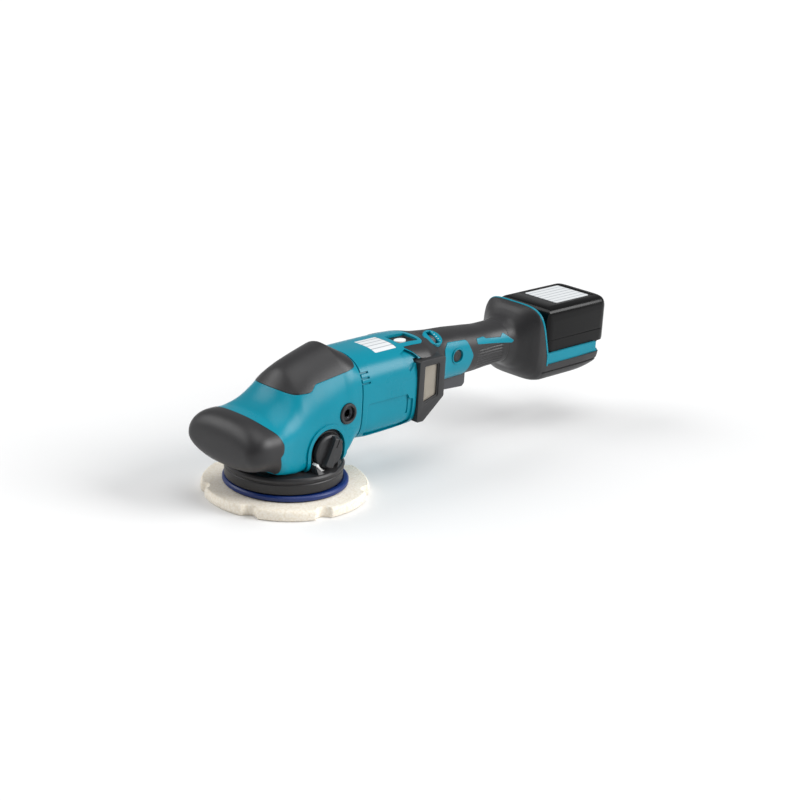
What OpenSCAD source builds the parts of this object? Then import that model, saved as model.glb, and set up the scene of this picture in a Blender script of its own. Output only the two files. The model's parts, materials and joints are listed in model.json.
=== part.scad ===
// Cordless dual action polisher: orbiting pad head, geared brushless motor, barrel grip
// and slide-on battery. Millimetres. Origin on the drive spindle's axis at the pad's
// working face; +Z up, +X towards the battery, -Y is the side with the mode knob.

/* [Pad and backing plate] */
// Diameter of the polishing pad
pad_d = 167; // [150:1:200]
// Thickness of the polishing pad
pad_t = 11; // [8:0.5:14]
// Number of cooling notches around the pad's edge
pad_notches = 7; // [4:1:12]
// Depth of each notch in the pad's edge
notch_depth = 4.5; // [2:0.5:6]
// Diameter of the backing plate
plate_d = 125; // [115:1:150]
// Thickness of the backing plate
plate_t = 5; // [4:0.5:7]
// Thickness of the hook layer between plate and pad
hook_t = 1.2; // [0.8:0.1:2]
// Diameter of the orbit, twice the spindle's eccentricity
orbit_d = 5.5; // [5.5:0.5:5.5]

/* [Gears] */
// Teeth of the fixed internal gear of the forced rotation drive
ring_teeth = 48; // [48:1:48]
// Module of the forced rotation gears
ring_module = 1.1; // [1.1:0.1:1.1]
// Teeth of the large bevel gear on the spindle
bevel_teeth = 37; // [37:1:37]
// Teeth of the bevel pinion on the motor shaft
pinion_teeth = 12; // [12:1:12]
// Module of the bevel gears at their outer end
bevel_module = 1.5; // [1.3:0.1:1.5]

/* [Head] */
// Height of the motor's axis above the pad's working face
axis_z = 92; // [90:1:112]
// From the spindle's axis to the front of the nose grip
head_front = 86; // [80:1:105]
// From the spindle's axis to the seam between head and motor housing
head_rear = 62; // [60:1:76]
// Width of the nose grip
nose_w = 106; // [96:1:130]
// Width of the head across the knob
head_w = 89; // [86:1:108]
// Height of the crown above the motor's axis
crown_h = 53; // [46:1:64]
// Wall of the moulded shells
wall = 3; // [2:0.1:3.6]
// Diameter of the mode knob
knob_d = 35; // [30:1:42]
// Diameter of the threaded insert for a side handle
insert_d = 15; // [13:0.5:18]
// Tapped bore of the side handle insert (M8 coarse)
insert_bore_d = 6.8; // [5:0.1:8.5]

/* [Motor housing] */
// Length of the motor housing
motor_len = 114; // [104:1:137]
// Width of the motor housing
motor_w = 85; // [82:1:102]
// Height of the motor housing above the motor's axis
motor_top = 43; // [40:1:52]
// Depth of the motor housing below the motor's axis
motor_bottom = 45.5; // [42:0.5:55]
// Length of a dust cover along the body
dust_len = 37; // [30:1:44]
// Height of a dust cover
dust_h = 65; // [54:1:78]

/* [Grip] */
// Length of the grip from the motor housing to the battery shoe
grip_len = 122; // [105:1:146]
// Width of the grip at the trigger
grip_w = 49; // [44:1:58]
// Travel of the trigger
trigger_travel = 5; // [3:0.5:6]
// Diameter of the lock button
button_d = 13; // [10:0.5:15]
// Diameter of the speed dial's wheel
dial_d = 18; // [15:1:20]

/* [Battery] */
// Width of the battery case
batt_w = 75; // [64:1:90]
// Length of the battery case behind its nose
batt_len = 100; // [92:1:120]
// Height of the battery case
batt_h = 50.5; // [46:0.5:60]
// Wall of the battery shoe's sole
sole_t = 14; // [12:1:17]

/* [Fits] */
// Gap between neighbouring still parts
gap = 0.3; // [0.2:0.05:0.5]
// Radial clearance of a shaft or slide that runs
run = 0.05; // [0.03:0.01:0.09]

/* [Hidden] */
$fn = 64;
SOFT = "#3a393b";
TEAL = "#0f9fae";
STEEL = "#b9bcc0";
ALU = "#a9adb2";
COPPER = "#b06a36";

orbit = orbit_d / 2;
pad_teeth = ring_teeth - orbit_d / ring_module;
plate_z = pad_t + hook_t;
plate_top = plate_z + plate_t;
skirt_z = plate_top + 1;
skirt_h = 17;
skirt_top = skirt_z + skirt_h;
skirt_r = plate_d / 2 - 3.5;
gear_z = skirt_z + 2;
gear_t = 7;
box_r = 37;
box_top = axis_z - 49;
carrier_z = gear_z + gear_t + 1.5;
carrier_r = 24;
carrier_top = box_top - 1.5;
shaft_r = 7.5;
pad_shaft_r = 7.5;
pad_bearing_r = 16;
bearing_w = 11;
low_bearing_r = 17.5;
top_bearing_r = 13;
top_bearing_w = 8;
top_shaft_r = 5;
housing_r = 37.5;
x_seam = head_rear;
x_motor_end = x_seam + motor_len;
x_grip_end = x_motor_end + grip_len;
knob_x = 15.5;
knob_z = axis_z - 40;
arch_r = knob_d / 2 + 5;
crank = 4;
slider_y = -box_r + 6;
leg_x = knob_x - 4.5;
insert_x = 42;
insert_z = axis_z - 7.5;
side_y = head_w / 2;
z_lip = skirt_top + 0.4;
dust_x = x_motor_end - dust_len;
dust_z = axis_z - 37.5;
dust_face = motor_w / 2 + 2.5;
trigger_x = x_motor_end + 30;
trigger_l = 38;
trigger_w = 22;
trigger_drop = 11.5;
button_x = x_motor_end + 39;
button_z = axis_z + 14.5;
plate_x = x_seam + 33;
plate_l = 30;
plate_w = 32;
window_x = x_seam + 70;
window_l = 29;
window_w = 22;
top_y = -8;
dial_x = x_motor_end + 9;
dial_y = -15.5;
dial_z = axis_z + 36.9;
dial_tilt = 28;
dial_t = 5;
bezel_r = dial_d / 2 + 2;
batt_x = x_grip_end + 48;
batt_nose_x = batt_x - 4;
batt_z = axis_z - 4;
batt_top = batt_z + batt_h;
batt_end = batt_x + batt_len;
sole_top = batt_z - 11;
sole_z = sole_top - sole_t - 7;
shoe_w = batt_w + 9;
sole_end = batt_end - 13;

// ---- outlines and lofts -------------------------------------------------------------

// One closed ring of a body that runs along X. A station is
// [x, half width, height of greatest width, top, bottom, roundness above, roundness below].
function ring(s, t, n = 32) = [for (i = [0 : n - 1])
    let (a = 360 * i / n, c = cos(a), d = sin(a), p = 2 / (d >= 0 ? s[5] : s[6]))
    [s[0],
     sign(c) * (s[1] - t) * pow(abs(c), p),
     s[2] + (d >= 0 ? (s[3] - t - s[2]) : -(s[2] - s[4] - t)) * pow(abs(d), p)]];

// Solid skinned over a list of stations, drawn in by t all round.
module loft(stations, t = 0, n = 32) {
    m = len(stations);
    pts = [for (s = stations) each ring(s, t, n)];
    sides = [for (k = [0 : m - 2], i = [0 : n - 1])
        let (j = (i + 1) % n) each [
            [k * n + i, (k + 1) * n + i, k * n + j],
            [k * n + j, (k + 1) * n + i, (k + 1) * n + j]]];
    ends = [[for (i = [0 : n - 1]) i], [for (i = [n - 1 : -1 : 0]) (m - 1) * n + i]];
    polyhedron(pts, concat(sides, ends));
}

// A profile drawn in X and Z, pushed through the body from y0 to y1.
module side_cut(y0, y1) {
    translate([0, y1, 0]) rotate([90, 0, 0]) linear_extrude(y1 - y0) children();
}

// A cylinder along X, from x0 to x1, about the height z.
module bar_x(r, x0, x1, z = axis_z) {
    translate([x0, 0, z]) rotate([0, 90, 0]) cylinder(r = r, h = x1 - x0);
}

// A cylinder along Y, from y0 to y1, about x and z.
module bar_y(r, y0, y1, x, z) {
    translate([x, y1, z]) rotate([90, 0, 0]) cylinder(r = r, h = y1 - y0);
}

// A cylinder along Z from z0 to z1.
module bar_z(r, z0, z1, x = 0) {
    translate([x, 0, z0]) cylinder(r = r, h = z1 - z0);
}

module block(x0, x1, y0, y1, z0, z1) {
    translate([x0, y0, z0]) cube([x1 - x0, y1 - y0, z1 - z0]);
}

// A box along X with its four long edges rounded.
module round_block(x0, x1, w, z0, z1, r) {
    translate([x0, 0, 0]) rotate([90, 0, 90]) linear_extrude(x1 - x0) {
        translate([-w / 2 + r, z0]) square([w - 2 * r, z1 - z0]);
        translate([-w / 2, z0 + r]) square([w, z1 - z0 - 2 * r]);
        for (y = [-w / 2 + r, w / 2 - r], z = [z0 + r, z1 - r]) translate([y, z]) circle(r);
    }
}

// Trapezoid teeth round a circle, as a closed outline from root to tip.
function teeth(count, r_root, r_tip, half_root, half_tip, turn = 0) = [for (i = [0 : count - 1])
    let (a = turn + 360 * i / count)
    each [for (p = [[r_root, -half_root], [r_tip, -half_tip], [r_tip, half_tip],
                    [r_root, half_root]]) p[0] * [cos(a + p[1]), sin(a + p[1])]]];

// ---- stations of the shells ---------------------------------------------------------

nose_x = 23 - head_front;
nose_z = axis_z - 25.5;
nose_r = 23;
nose_h = 24.5;
nose_end = 16;

// Nose: a bar across the body with round front and round ends.
function nose_station(dx) = let (q = pow(1 - pow(abs(dx) / nose_r, 2.4), 1 / 2.4))
    [nose_x + dx, nose_w / 2 - nose_end * (1 - q), nose_z, nose_z + nose_h * q,
     nose_z - nose_h * q, 2.6, 2.4];

HEAD = concat([for (dx = [-22.8, -21.5, -19, -15, -8, 0]) nose_station(dx)], [
    [nose_x + 12, nose_w / 2 - 0.5, axis_z - 25, axis_z + 0.5, axis_z - 52, 2.4, 3],
    [nose_x + 22, nose_w / 2 - 3, axis_z - 23, axis_z + 7, z_lip, 2.1, 5],
    [nose_x + 32, nose_w / 2 - 5.5, axis_z - 21, axis_z + 16, z_lip, 1.9, 8],
    [nose_x + 42, head_w / 2 + 1.5, axis_z - 20, axis_z + 27, z_lip, 1.8, 12],
    [nose_x + 52, head_w / 2 + 0.5, axis_z - 20, axis_z + 37, z_lip, 1.85, 12],
    [0, head_w / 2, axis_z - 18, axis_z + crown_h - 10, z_lip, 1.9, 12],
    [16, head_w / 2, axis_z - 14, axis_z + crown_h - 4.5, z_lip, 2, 12],
    [30, head_w / 2 - 0.3, axis_z - 10, axis_z + crown_h - 1, z_lip, 2.1, 12],
    [head_rear - 21, head_w / 2 - 0.6, axis_z - 7, axis_z + crown_h, z_lip + 1, 2.2, 10],
    [head_rear - 13, head_w / 2 - 1, axis_z - 5, axis_z + crown_h - 2.5, z_lip + 5, 2.4, 7],
    [head_rear - 6, motor_w / 2 + 0.4, axis_z - 3, axis_z + crown_h - 6.5, axis_z - 46, 2.6, 5],
    [head_rear, motor_w / 2, axis_z - 1, axis_z + motor_top - 0.5, axis_z - motor_bottom + 1,
     2.7, 4]]);

MOTOR = [
    [x_seam, motor_w / 2, axis_z - 1, axis_z + motor_top - 0.5, axis_z - motor_bottom + 1, 2.7, 4],
    [x_seam + 20, motor_w / 2, axis_z - 1, axis_z + motor_top, axis_z - motor_bottom, 2.8, 4.5],
    [x_motor_end - 37, motor_w / 2, axis_z - 1, axis_z + motor_top, axis_z - motor_bottom + 2,
     2.9, 4.5],
    [x_motor_end - 16, motor_w / 2, axis_z + 1, axis_z + motor_top - 1, axis_z - motor_bottom + 8,
     2.8, 3.6],
    [x_motor_end, motor_w / 2 - 7, axis_z + 6, axis_z + motor_top - 3, axis_z - 24, 2.5, 3]];

GRIP = [
    [x_motor_end, motor_w / 2 - 7, axis_z + 6, axis_z + motor_top - 3, axis_z - 24, 2.5, 3],
    [x_motor_end + 10, grip_w / 2 + 5, axis_z + 9, axis_z + 39.5, axis_z - 18, 2.4, 2.8],
    [x_motor_end + 24, grip_w / 2 + 1, axis_z + 11, axis_z + 38.5, axis_z - 15, 2.4, 2.6],
    [x_motor_end + 44, grip_w / 2, axis_z + 11, axis_z + 37.5, axis_z - 14.5, 2.4, 2.6],
    [x_motor_end + 74, grip_w / 2 - 1, axis_z + 10.5, axis_z + 35, axis_z - 14.5, 2.3, 2.5],
    [x_grip_end - 22, grip_w / 2 - 2.5, axis_z + 10, axis_z + 33, axis_z - 13.5, 2.3, 2.4],
    [x_grip_end, grip_w / 2 - 1.5, axis_z + 10, axis_z + 33, axis_z - 13, 2.3, 2.4]];

SHOE = [
    [x_grip_end, grip_w / 2 - 1.5, axis_z + 10, axis_z + 33, axis_z - 13, 2.3, 2.4],
    [x_grip_end + 10, grip_w / 2 + 0.5, axis_z + 9, axis_z + 35, axis_z - 17, 2.4, 2.4],
    [x_grip_end + 19, shoe_w / 2 - 10, axis_z + 7, axis_z + 41, axis_z - 22, 2.8, 2.6],
    [x_grip_end + 24.5, shoe_w / 2 - 4, axis_z + 5, axis_z + 46.5, axis_z - 27, 3.4, 3],
    [x_grip_end + 30, shoe_w / 2 - 0.6, axis_z + 4, axis_z + 49.5, axis_z - 31.5, 4.5, 3.6],
    [x_grip_end + 37, shoe_w / 2, axis_z + 4, axis_z + 50, sole_z, 5, 4.4],
    [batt_x - 4, shoe_w / 2, axis_z + 4, axis_z + 50, sole_z - 0.5, 5, 5],
    [batt_x + 45, shoe_w / 2, axis_z + 4, axis_z + 50, sole_z - 0.5, 5, 5],
    [sole_end - 4, shoe_w / 2 - 1, axis_z + 4, axis_z + 50, sole_z + 4, 5, 5],
    [sole_end, shoe_w / 2 - 4, axis_z + 4, axis_z + 50, sole_z + 8, 5, 5]];

// Side view outline of the nose rubber, ahead of the cover's front edge.
module nose_outline() {
    polygon([[-head_front - 5, axis_z + 14], [nose_x - 3, axis_z + 14], [nose_x + 4, axis_z - 4],
        [nose_x + 13, axis_z - 11], [nose_x + 16, axis_z - 25], [nose_x + 11, axis_z - 29],
        [nose_x + 17, axis_z - 52], [nose_x + 17, axis_z - 70], [-head_front - 5, axis_z - 70]]);
}

// Side view outline of the crown rubber, above the cover's upper edge.
module crown_outline() {
    polygon([[-42, axis_z + 70], [-42, axis_z + 29], [-34, axis_z + 26], [-17, axis_z + 19],
        [1, axis_z + 20], [7, axis_z + 26], [head_rear - 4, axis_z + 34],
        [head_rear, axis_z + 39], [head_rear + 1, axis_z + 70]]);
}

// Side view outline of the arch in the cover that the mode knob sits in.
module arch_outline(r) {
    translate([knob_x, knob_z]) circle(r);
    translate([knob_x - r, z_lip - 5]) square([2 * r, knob_z - z_lip + 5]);
}

module head_skin() {
    difference() {
        loft(HEAD);
        loft([for (s = HEAD) if (s[0] > nose_x - nose_r + wall + 1) s], wall);
        loft([for (s = HEAD) if (s[0] >= head_rear - 7) s + [s[0] == head_rear ? 1 : 0, 0, 0, 0, 0, 0, 0]],
            wall);
        bar_z(skirt_r - 13, 0, knob_z - 5);
    }
}

// ---- orbiting pad -------------------------------------------------------------------

module polishing_pad() {
    r = pad_d / 2;
    edge = pad_t / 2;
    color("#efe6d6") translate([orbit, 0, 0]) difference() {
        union() {
            cylinder(r = r - edge, h = pad_t, $fn = 96);
            rotate_extrude($fn = 96) translate([r - edge, edge]) circle(edge, $fn = 24);
        }
        for (i = [0 : pad_notches - 1]) rotate([0, 0, 360 * i / pad_notches - 2])
            translate([r + 8 - notch_depth, 0, -1]) cylinder(r = 8, h = pad_t + 2, $fn = 32);
    }
}

module hook_disc() {
    color("#2b2b30") bar_z(plate_d / 2 - 2, pad_t, plate_z, orbit);
}

module backing_plate() {
    r = plate_d / 2;
    color("#12489a") translate([orbit, 0, plate_z]) difference() {
        union() {
            cylinder(r = r, h = plate_t - 1.5);
            cylinder(r1 = r, r2 = r - 1.5, h = plate_t);
        }
        translate([0, 0, plate_t - 1.5]) cylinder(r = r - 6, h = 3);
        for (i = [0 : 7]) rotate(45 * i + 22.5) translate([r - 10, 0, -1]) cylinder(r = 3.5, h = 9);
        translate([0, 0, -1]) cylinder(r = 4 + run, h = 9);
        translate([0, 0, -1]) cylinder(r = 8 + gap, h = 3.2);
    }
}

module pad_bolt() {
    color(STEEL) translate([orbit, 0, plate_z]) difference() {
        union() {
            translate([0, 0, 0.2]) cylinder(r = 8, h = 2);
            cylinder(r = 4, h = plate_t + 14);
        }
        translate([0, 0, -0.1]) cylinder(r = 3.46, h = 1.8, $fn = 6);
    }
}

module pad_shaft() {
    r = ring_module * pad_teeth / 2;
    color(STEEL) difference() {
        union() {
            bar_z(13, plate_top - 1.5, gear_z + 0.5, orbit);
            translate([orbit, 0, gear_z]) linear_extrude(gear_t)
                polygon(teeth(pad_teeth, r - 0.75, r + 0.5, 1.9, 1.3));
            bar_z(pad_shaft_r, gear_z, carrier_top - 3.5, orbit);
        }
        bar_z(4 + run, 0, plate_top + 15, orbit);
    }
}

module pad_bearings() {
    color(STEEL) difference() {
        bar_z(pad_bearing_r, carrier_z + 1, carrier_top - 3, orbit);
        bar_z(pad_shaft_r + run, carrier_z, carrier_top, orbit);
    }
}

// ---- drive spindle ------------------------------------------------------------------

module spindle() {
    color(STEEL) difference() {
        union() {
            bar_z(carrier_r, carrier_z, carrier_top);
            bar_z(shaft_r, carrier_top - 1, axis_z - 8);
            bar_z(top_shaft_r, axis_z - 9, axis_z + 16.8);
        }
        bar_z(pad_bearing_r + 0.02, carrier_z - 1, carrier_top - 2.5, orbit);
    }
}

module counterweight() {
    color("#8c8f94") difference() {
        intersection() {
            bar_z(carrier_r + 7, carrier_z, carrier_top - 1);
            block(-60, -4, -60, 60, 0, 200);
        }
        bar_z(carrier_r + run, 0, 200);
    }
}

// Straight bevel gear about Z, apex at the origin, opening downwards. mate is the tooth
// count of the other gear.
module bevel_teeth_ring(count, mate, face, depth, turn = 0) {
    r = bevel_module * count / 2;
    drop = bevel_module * mate / 2;
    cone = sqrt(r * r + drop * drop);
    k = (cone - face) / cone;
    sd = r / cone;
    cd = drop / cone;
    tip = 0.6 * bevel_module;
    root = 0.75 * bevel_module + 0.5;
    half_tip = 0.4 * bevel_module;
    half_root = 0.9 * bevel_module;
    for (i = [0 : count - 1]) rotate([0, 0, turn + 360 * i / count])
        polyhedron([for (q = [1, k], p = [[-root, -half_root], [tip, -half_tip],
                         [tip, half_tip], [-root, half_root]])
                        q * [r + p[0] * cd, p[1], -drop + p[0] * sd]],
            [[0, 1, 2, 3], [7, 6, 5, 4], [0, 4, 5, 1], [1, 5, 6, 2], [2, 6, 7, 3], [3, 7, 4, 0]]);
    root_r = r - 0.75 * bevel_module * cd;
    root_z = -drop - 0.75 * bevel_module * sd;
    rotate_extrude() polygon([[0, k * root_z], [k * root_r, k * root_z], [root_r, root_z],
        [root_r - 1, -drop - depth], [0, -drop - depth]]);
}

module bevel_gear() {
    color("#9a9da1") difference() {
        translate([0, 0, axis_z]) bevel_teeth_ring(bevel_teeth, pinion_teeth, 8, 7);
        bar_z(top_shaft_r, axis_z - 60, axis_z + 5);
        bar_z(shaft_r, axis_z - 60, axis_z - 8);
    }
}

module bearing_retainer() {
    color(ALU) difference() {
        bar_z(26, box_top + bearing_w + 3, box_top + bearing_w + 5.5);
        bar_z(shaft_r + 2, box_top, axis_z);
    }
}

module bearing(r_out, r_in, w) {
    groove = (r_out - r_in) * 0.25;
    rotate_extrude() difference() {
        translate([r_in, 0]) square([r_out - r_in, w]);
        for (z = [-0.1, w - 0.7]) translate([r_in + groove, z])
            square([r_out - r_in - 2 * groove, 0.8]);
    }
}

module spindle_bearing_lower() {
    color(STEEL) translate([0, 0, box_top + 2]) bearing(low_bearing_r, shaft_r + run, bearing_w);
}

module spindle_bearing_upper() {
    color(STEEL) translate([0, 0, axis_z + 9])
        bearing(top_bearing_r, top_shaft_r + run, top_bearing_w);
}

// ---- forced rotation gear and mode knob ---------------------------------------------

module ring_gear() {
    r = ring_module * ring_teeth / 2;
    color("#8f9398") difference() {
        bar_z(box_r - 2, gear_z, gear_z + gear_t);
        translate([0, 0, gear_z - 1]) linear_extrude(gear_t + 2)
            difference() {
                circle(r + 0.9);
                for (i = [0 : ring_teeth - 1]) rotate(360 * (i + 0.5) / ring_teeth)
                    polygon([[r + 2, -0.95], [r - 0.5, -0.55], [r - 0.5, 0.55], [r + 2, 0.95]]);
            }
        block(leg_x - 3 - gap, leg_x + 3 + gap, -box_r, -box_r + 6, gear_z + gear_t - 3,
            gear_z + gear_t + 1);
    }
}

module lock_slider() {
    z0 = gear_z + gear_t - 2.5;
    pin_z = knob_z - crank * sin(45);
    pin_x = knob_x + crank * cos(45);
    color("#c2a15a") difference() {
        union() {
            block(leg_x - 3, leg_x + 3, slider_y - 2.5, slider_y - 0.5, z0, pin_z);
            block(leg_x - 3, knob_x + 9, slider_y - 2.5, slider_y - 0.5, pin_z - 5, pin_z + 5);
        }
        block(pin_x - 4, knob_x + 8, slider_y - 4, slider_y + 1, pin_z - 1.8, pin_z + 1.8);
    }
}

module knob_shaft() {
    color(STEEL) {
        bar_y(5, -side_y - 0.5, slider_y - 3.2, knob_x, knob_z);
        bar_y(1.5, slider_y - 3.2, slider_y, knob_x + crank * cos(45), knob_z - crank * sin(45));
    }
}

module mode_knob() {
    r = knob_d / 2;
    color(SOFT) difference() {
        union() {
            bar_y(r, -side_y - 3.5, -side_y + 1, knob_x, knob_z);
            intersection() {
                bar_y(r - 1.5, -side_y - 10.5, -side_y - 3, knob_x, knob_z);
                translate([knob_x, 0, knob_z]) rotate([0, 25, 0])
                    block(-5.5, 5.5, -side_y - 11, -side_y, -r, r);
            }
        }
        bar_y(5 + run, -side_y - 0.6, -side_y + 5, knob_x, knob_z);
    }
}

module knob_surround() {
    color("#262628") difference() {
        side_cut(-side_y + 3.2, -side_y + 5.2)
            intersection() {
                arch_outline(arch_r - gap);
                translate([knob_x - 60, z_lip]) square([120, 200]);
            }
        bar_y(5 + run, -side_y, -side_y + 9, knob_x, knob_z);
    }
}

// ---- castings of the gear head ------------------------------------------------------

module bearing_box() {
    color(ALU) difference() {
        union() {
            bar_z(box_r, gear_z - 0.5, box_top);
            bar_z(box_r, box_top, box_top + 1);
        }
        bar_z(box_r - 2, gear_z - 1, gear_z + gear_t);
        bar_z(carrier_r + 9.5, gear_z, box_top - 1);
        bar_z(shaft_r + 3, gear_z, box_top + 2);
        block(knob_x - 9.5, knob_x + 9.8, -box_r - 5, slider_y + 1, gear_z + gear_t - 3, 200);
    }
}

module gear_housing() {
    base = box_top + 1;
    color(ALU) difference() {
        union() {
            bar_z(housing_r - 2, base, axis_z + 6);
            bar_z(top_bearing_r + 4, axis_z + 6, axis_z + 21);
            bar_x(housing_r - 1, 8, x_seam - 0.2);
            bar_x(housing_r + 1, x_seam - 4, x_seam - 0.2);
        }
        bar_z(low_bearing_r + 0.02, base - 1, box_top + bearing_w + 2);
        bar_z(30, box_top + bearing_w + 2, axis_z - 1);
        bar_z(top_bearing_r + 0.02, axis_z - 10, axis_z + 17.02);
        bar_x(13.02, 12, 43.02);
        bar_x(6, 20, 60);
        bar_x(33, 46.5, 200);
        for (s = [-1, 1]) bar_y(insert_d / 2, min(s * 50, s * 34.1), max(s * 50, s * 34.1),
            insert_x, insert_z);
        block(knob_x - 9.5, knob_x + 12, -60, slider_y + 1, 0, knob_z + 9);
        bar_y(5 + gap, -60, slider_y, knob_x, knob_z);
    }
}

module skirt() {
    r = skirt_r;
    color("#403f42") difference() {
        union() {
            rotate_extrude($fn = 96) polygon([[box_r + gap, skirt_z + skirt_h - 4],
                [r - 3.5, skirt_z + skirt_h - 4], [r - 3.5, skirt_z], [r - 0.5, skirt_z],
                [r, skirt_z + skirt_h - 6], [r + 1, skirt_z + skirt_h - 3],
                [r, skirt_z + skirt_h], [box_r + gap, skirt_z + skirt_h]]);
            intersection() {
                translate([0, 0, skirt_top - 1]) difference() {
                    cylinder(r1 = r - 2, r2 = r - 7, h = 7);
                    cylinder(r = side_y - 1.5, h = 20, center = true);
                }
                block(knob_x - arch_r + 0.5, knob_x + arch_r - 0.5, -r, -side_y + 2, 0, 100);
            }
        }
        bar_y(knob_d / 2 + 0.6, -r - 10, -side_y + 3, knob_x, knob_z);
    }
}

// ---- head covers --------------------------------------------------------------------

module insert_holes(r) {
    for (s = [-1, 1]) bar_y(r, min(s * 30, s * 60), max(s * 30, s * 60), insert_x, insert_z);
}

module head_cover() {
    color(TEAL) difference() {
        head_skin();
        side_cut(-80, 80) nose_outline();
        side_cut(-80, 80) crown_outline();
        side_cut(-80, -side_y + 12) arch_outline(arch_r);
        insert_holes(insert_d / 2 + 3.2);
    }
}

module nose_grip() {
    color(SOFT) intersection() {
        head_skin();
        side_cut(-80, 80) nose_outline();
    }
}

module crown_grip() {
    color(SOFT) intersection() {
        head_skin();
        side_cut(-80, 80) crown_outline();
    }
}

module insert(s) {
    color(STEEL) difference() {
        bar_y(insert_d / 2 - 0.02, min(s * 44.5, s * 34.2), max(s * 44.5, s * 34.2),
            insert_x, insert_z);
        bar_y(insert_bore_d / 2, min(s * 60, s * 20), max(s * 60, s * 20), insert_x, insert_z);
    }
}

module insert_rings() {
    color("#1d1d1f") for (s = [-1, 1]) difference() {
        bar_y(insert_d / 2 + 3, min(s * 45.5, s * 40.5), max(s * 45.5, s * 40.5),
            insert_x, insert_z);
        bar_y(insert_d / 2 + 0.02, -60, 60, insert_x, insert_z);
    }
}

module insert_left() { insert(-1); }
module insert_right() { insert(1); }

// ---- motor --------------------------------------------------------------------------

pinion_x = bevel_module * bevel_teeth / 2;

module bevel_pinion() {
    color("#84878b") difference() {
        translate([0, 0, axis_z]) rotate([0, -90, 0])
            bevel_teeth_ring(pinion_teeth, bevel_teeth, 8, 3, 180 / pinion_teeth);
        bar_x(3.5, 10, 60);
    }
}

module motor_shaft() {
    color(STEEL) {
        bar_x(3.45, 21, pinion_x + 3);
        bar_x(5, pinion_x + 3, x_motor_end - 22);
    }
}

module rotor_core() {
    color("#3b4048") difference() {
        bar_x(14, x_seam + 10, x_seam + 52);
        bar_x(5.02, x_seam, x_seam + 60);
        for (i = [0 : 3]) translate([x_seam, 0, axis_z]) rotate([45 + 90 * i, 0, 0])
            translate([5, -6, 9.5]) cube([60, 12, 1.6]);
    }
}

module fan() {
    color("#d8d4c8") {
        difference() {
            union() {
                bar_x(10, 49, 58);
                bar_x(31, 56.5, 58);
            }
            bar_x(5.02, 40, 70);
        }
        for (i = [0 : 10]) translate([49, 0, axis_z]) rotate([360 * i / 11, 0, 0])
            translate([0, -0.8, 9]) cube([8, 1.6, 21.5]);
    }
}

module motor_bearing_front() {
    color(STEEL) translate([34.5, 0, axis_z]) rotate([0, 90, 0]) bearing(13, 5 + run, 8);
}

module motor_bearing_rear() {
    color(STEEL) translate([x_motor_end - 32, 0, axis_z]) rotate([0, 90, 0])
        bearing(11, 5 + run, 7);
}

module stator_core() {
    color("#70747a") difference() {
        bar_x(28.5, x_seam + 11, x_seam + 51);
        bar_x(14.6, x_seam, x_seam + 60);
        for (i = [0 : 5]) translate([x_seam, 0, axis_z]) rotate([60 * i, 0, 0])
            translate([0, -7, 16.5]) cube([60, 14, 7.5]);
    }
}

module stator_coils() {
    color(COPPER) for (i = [0 : 5]) translate([x_seam, 0, axis_z]) rotate([60 * i, 0, 0])
        for (y = [-6.6, 0.6]) translate([5, y, 16.9]) cube([53, 6, 6.8]);
}

module motor_housing() {
    color(TEAL) difference() {
        loft(MOTOR);
        loft([for (s = MOTOR) s + [s[0] == x_seam ? -1 : s[0] == x_motor_end ? 1 : 0,
            0, 0, 0, 0, 0, 0]], wall);
        for (s = [-1, 1]) {
            y0 = min(s * 30, s * 70);
            block(dust_x - 0.5, x_motor_end + 1, y0, y0 + 40, dust_z - 6, dust_z + dust_h + 2);
        }
        difference() {
            label_block(0);
            loft(MOTOR, 1.1);
        }
        block(window_x, window_x + window_l, top_y - window_w / 2, top_y + window_w / 2,
            axis_z + 30, 300);
    }
    color(TEAL) motor_carrier();
}

// Ribbed tube inside the housing that holds the stator and the rear bearing.
module motor_carrier() {
    difference() {
        union() {
            bar_x(31, x_seam + 8, x_seam + 56);
            bar_x(13.5, x_motor_end - 36, x_motor_end - 23);
            bar_x(31, x_motor_end - 39, x_motor_end - 36);
            for (a = [0 : 60 : 300]) translate([x_seam + 50, 0, axis_z]) rotate([a + 30, 0, 0])
                translate([0, -2, 28.6]) cube([motor_len - 86, 4, 2.4]);
            for (s = [-1, 1]) {
                y0 = min(s * 30, s * (motor_w / 2 - wall + 0.5));
                block(x_seam + 12, x_seam + 50, y0, y0 + motor_w / 2 - wall - 29.5, axis_z - 2,
                    axis_z + 2);
            }
        }
        bar_x(28.6, x_seam, x_seam + 52);
        bar_x(25, x_seam + 50, x_seam + 60);
        bar_x(11.02, x_motor_end - 34, x_motor_end - 24.9);
        bar_x(6, x_motor_end - 60, x_motor_end);
        for (a = [0 : 60 : 300]) translate([x_motor_end - 45, 0, axis_z]) rotate([a, 0, 0])
            translate([0, -6, 16]) cube([20, 12, 9]);
    }
}

module controller() {
    x0 = x_motor_end - 18;
    color("#1f5a35") block(x0, x0 + 3, -26, 26, axis_z - 18, axis_z + 28);
    color("#2c2c30") block(x0 + 3, x0 + 13, -20, 20, axis_z - 8, axis_z + 24);
}

module label_block(t) {
    block(plate_x + t, plate_x + plate_l - t, top_y - plate_w / 2 + t, top_y + plate_w / 2 - t,
        axis_z + 30, 300);
}

// Blank rating plate that follows the curve of the housing's top.
module top_plate() {
    color("#d9dcdf") intersection() {
        difference() {
            loft(MOTOR, 0.15);
            loft(MOTOR, 1);
        }
        label_block(gap);
    }
}

module indicator_window() {
    z = axis_z + motor_top;
    color("#141416") block(window_x + gap, window_x + window_l - gap,
        top_y - window_w / 2 + gap, top_y + window_w / 2 - gap, z - 7, z - 3.4);
    color("#e8e8e4") translate([window_x + 13, top_y, z - 3.4]) scale([1, 0.75, 1])
        cylinder(r = 7.5, h = 1.2);
}

// ---- dust covers --------------------------------------------------------------------

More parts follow.
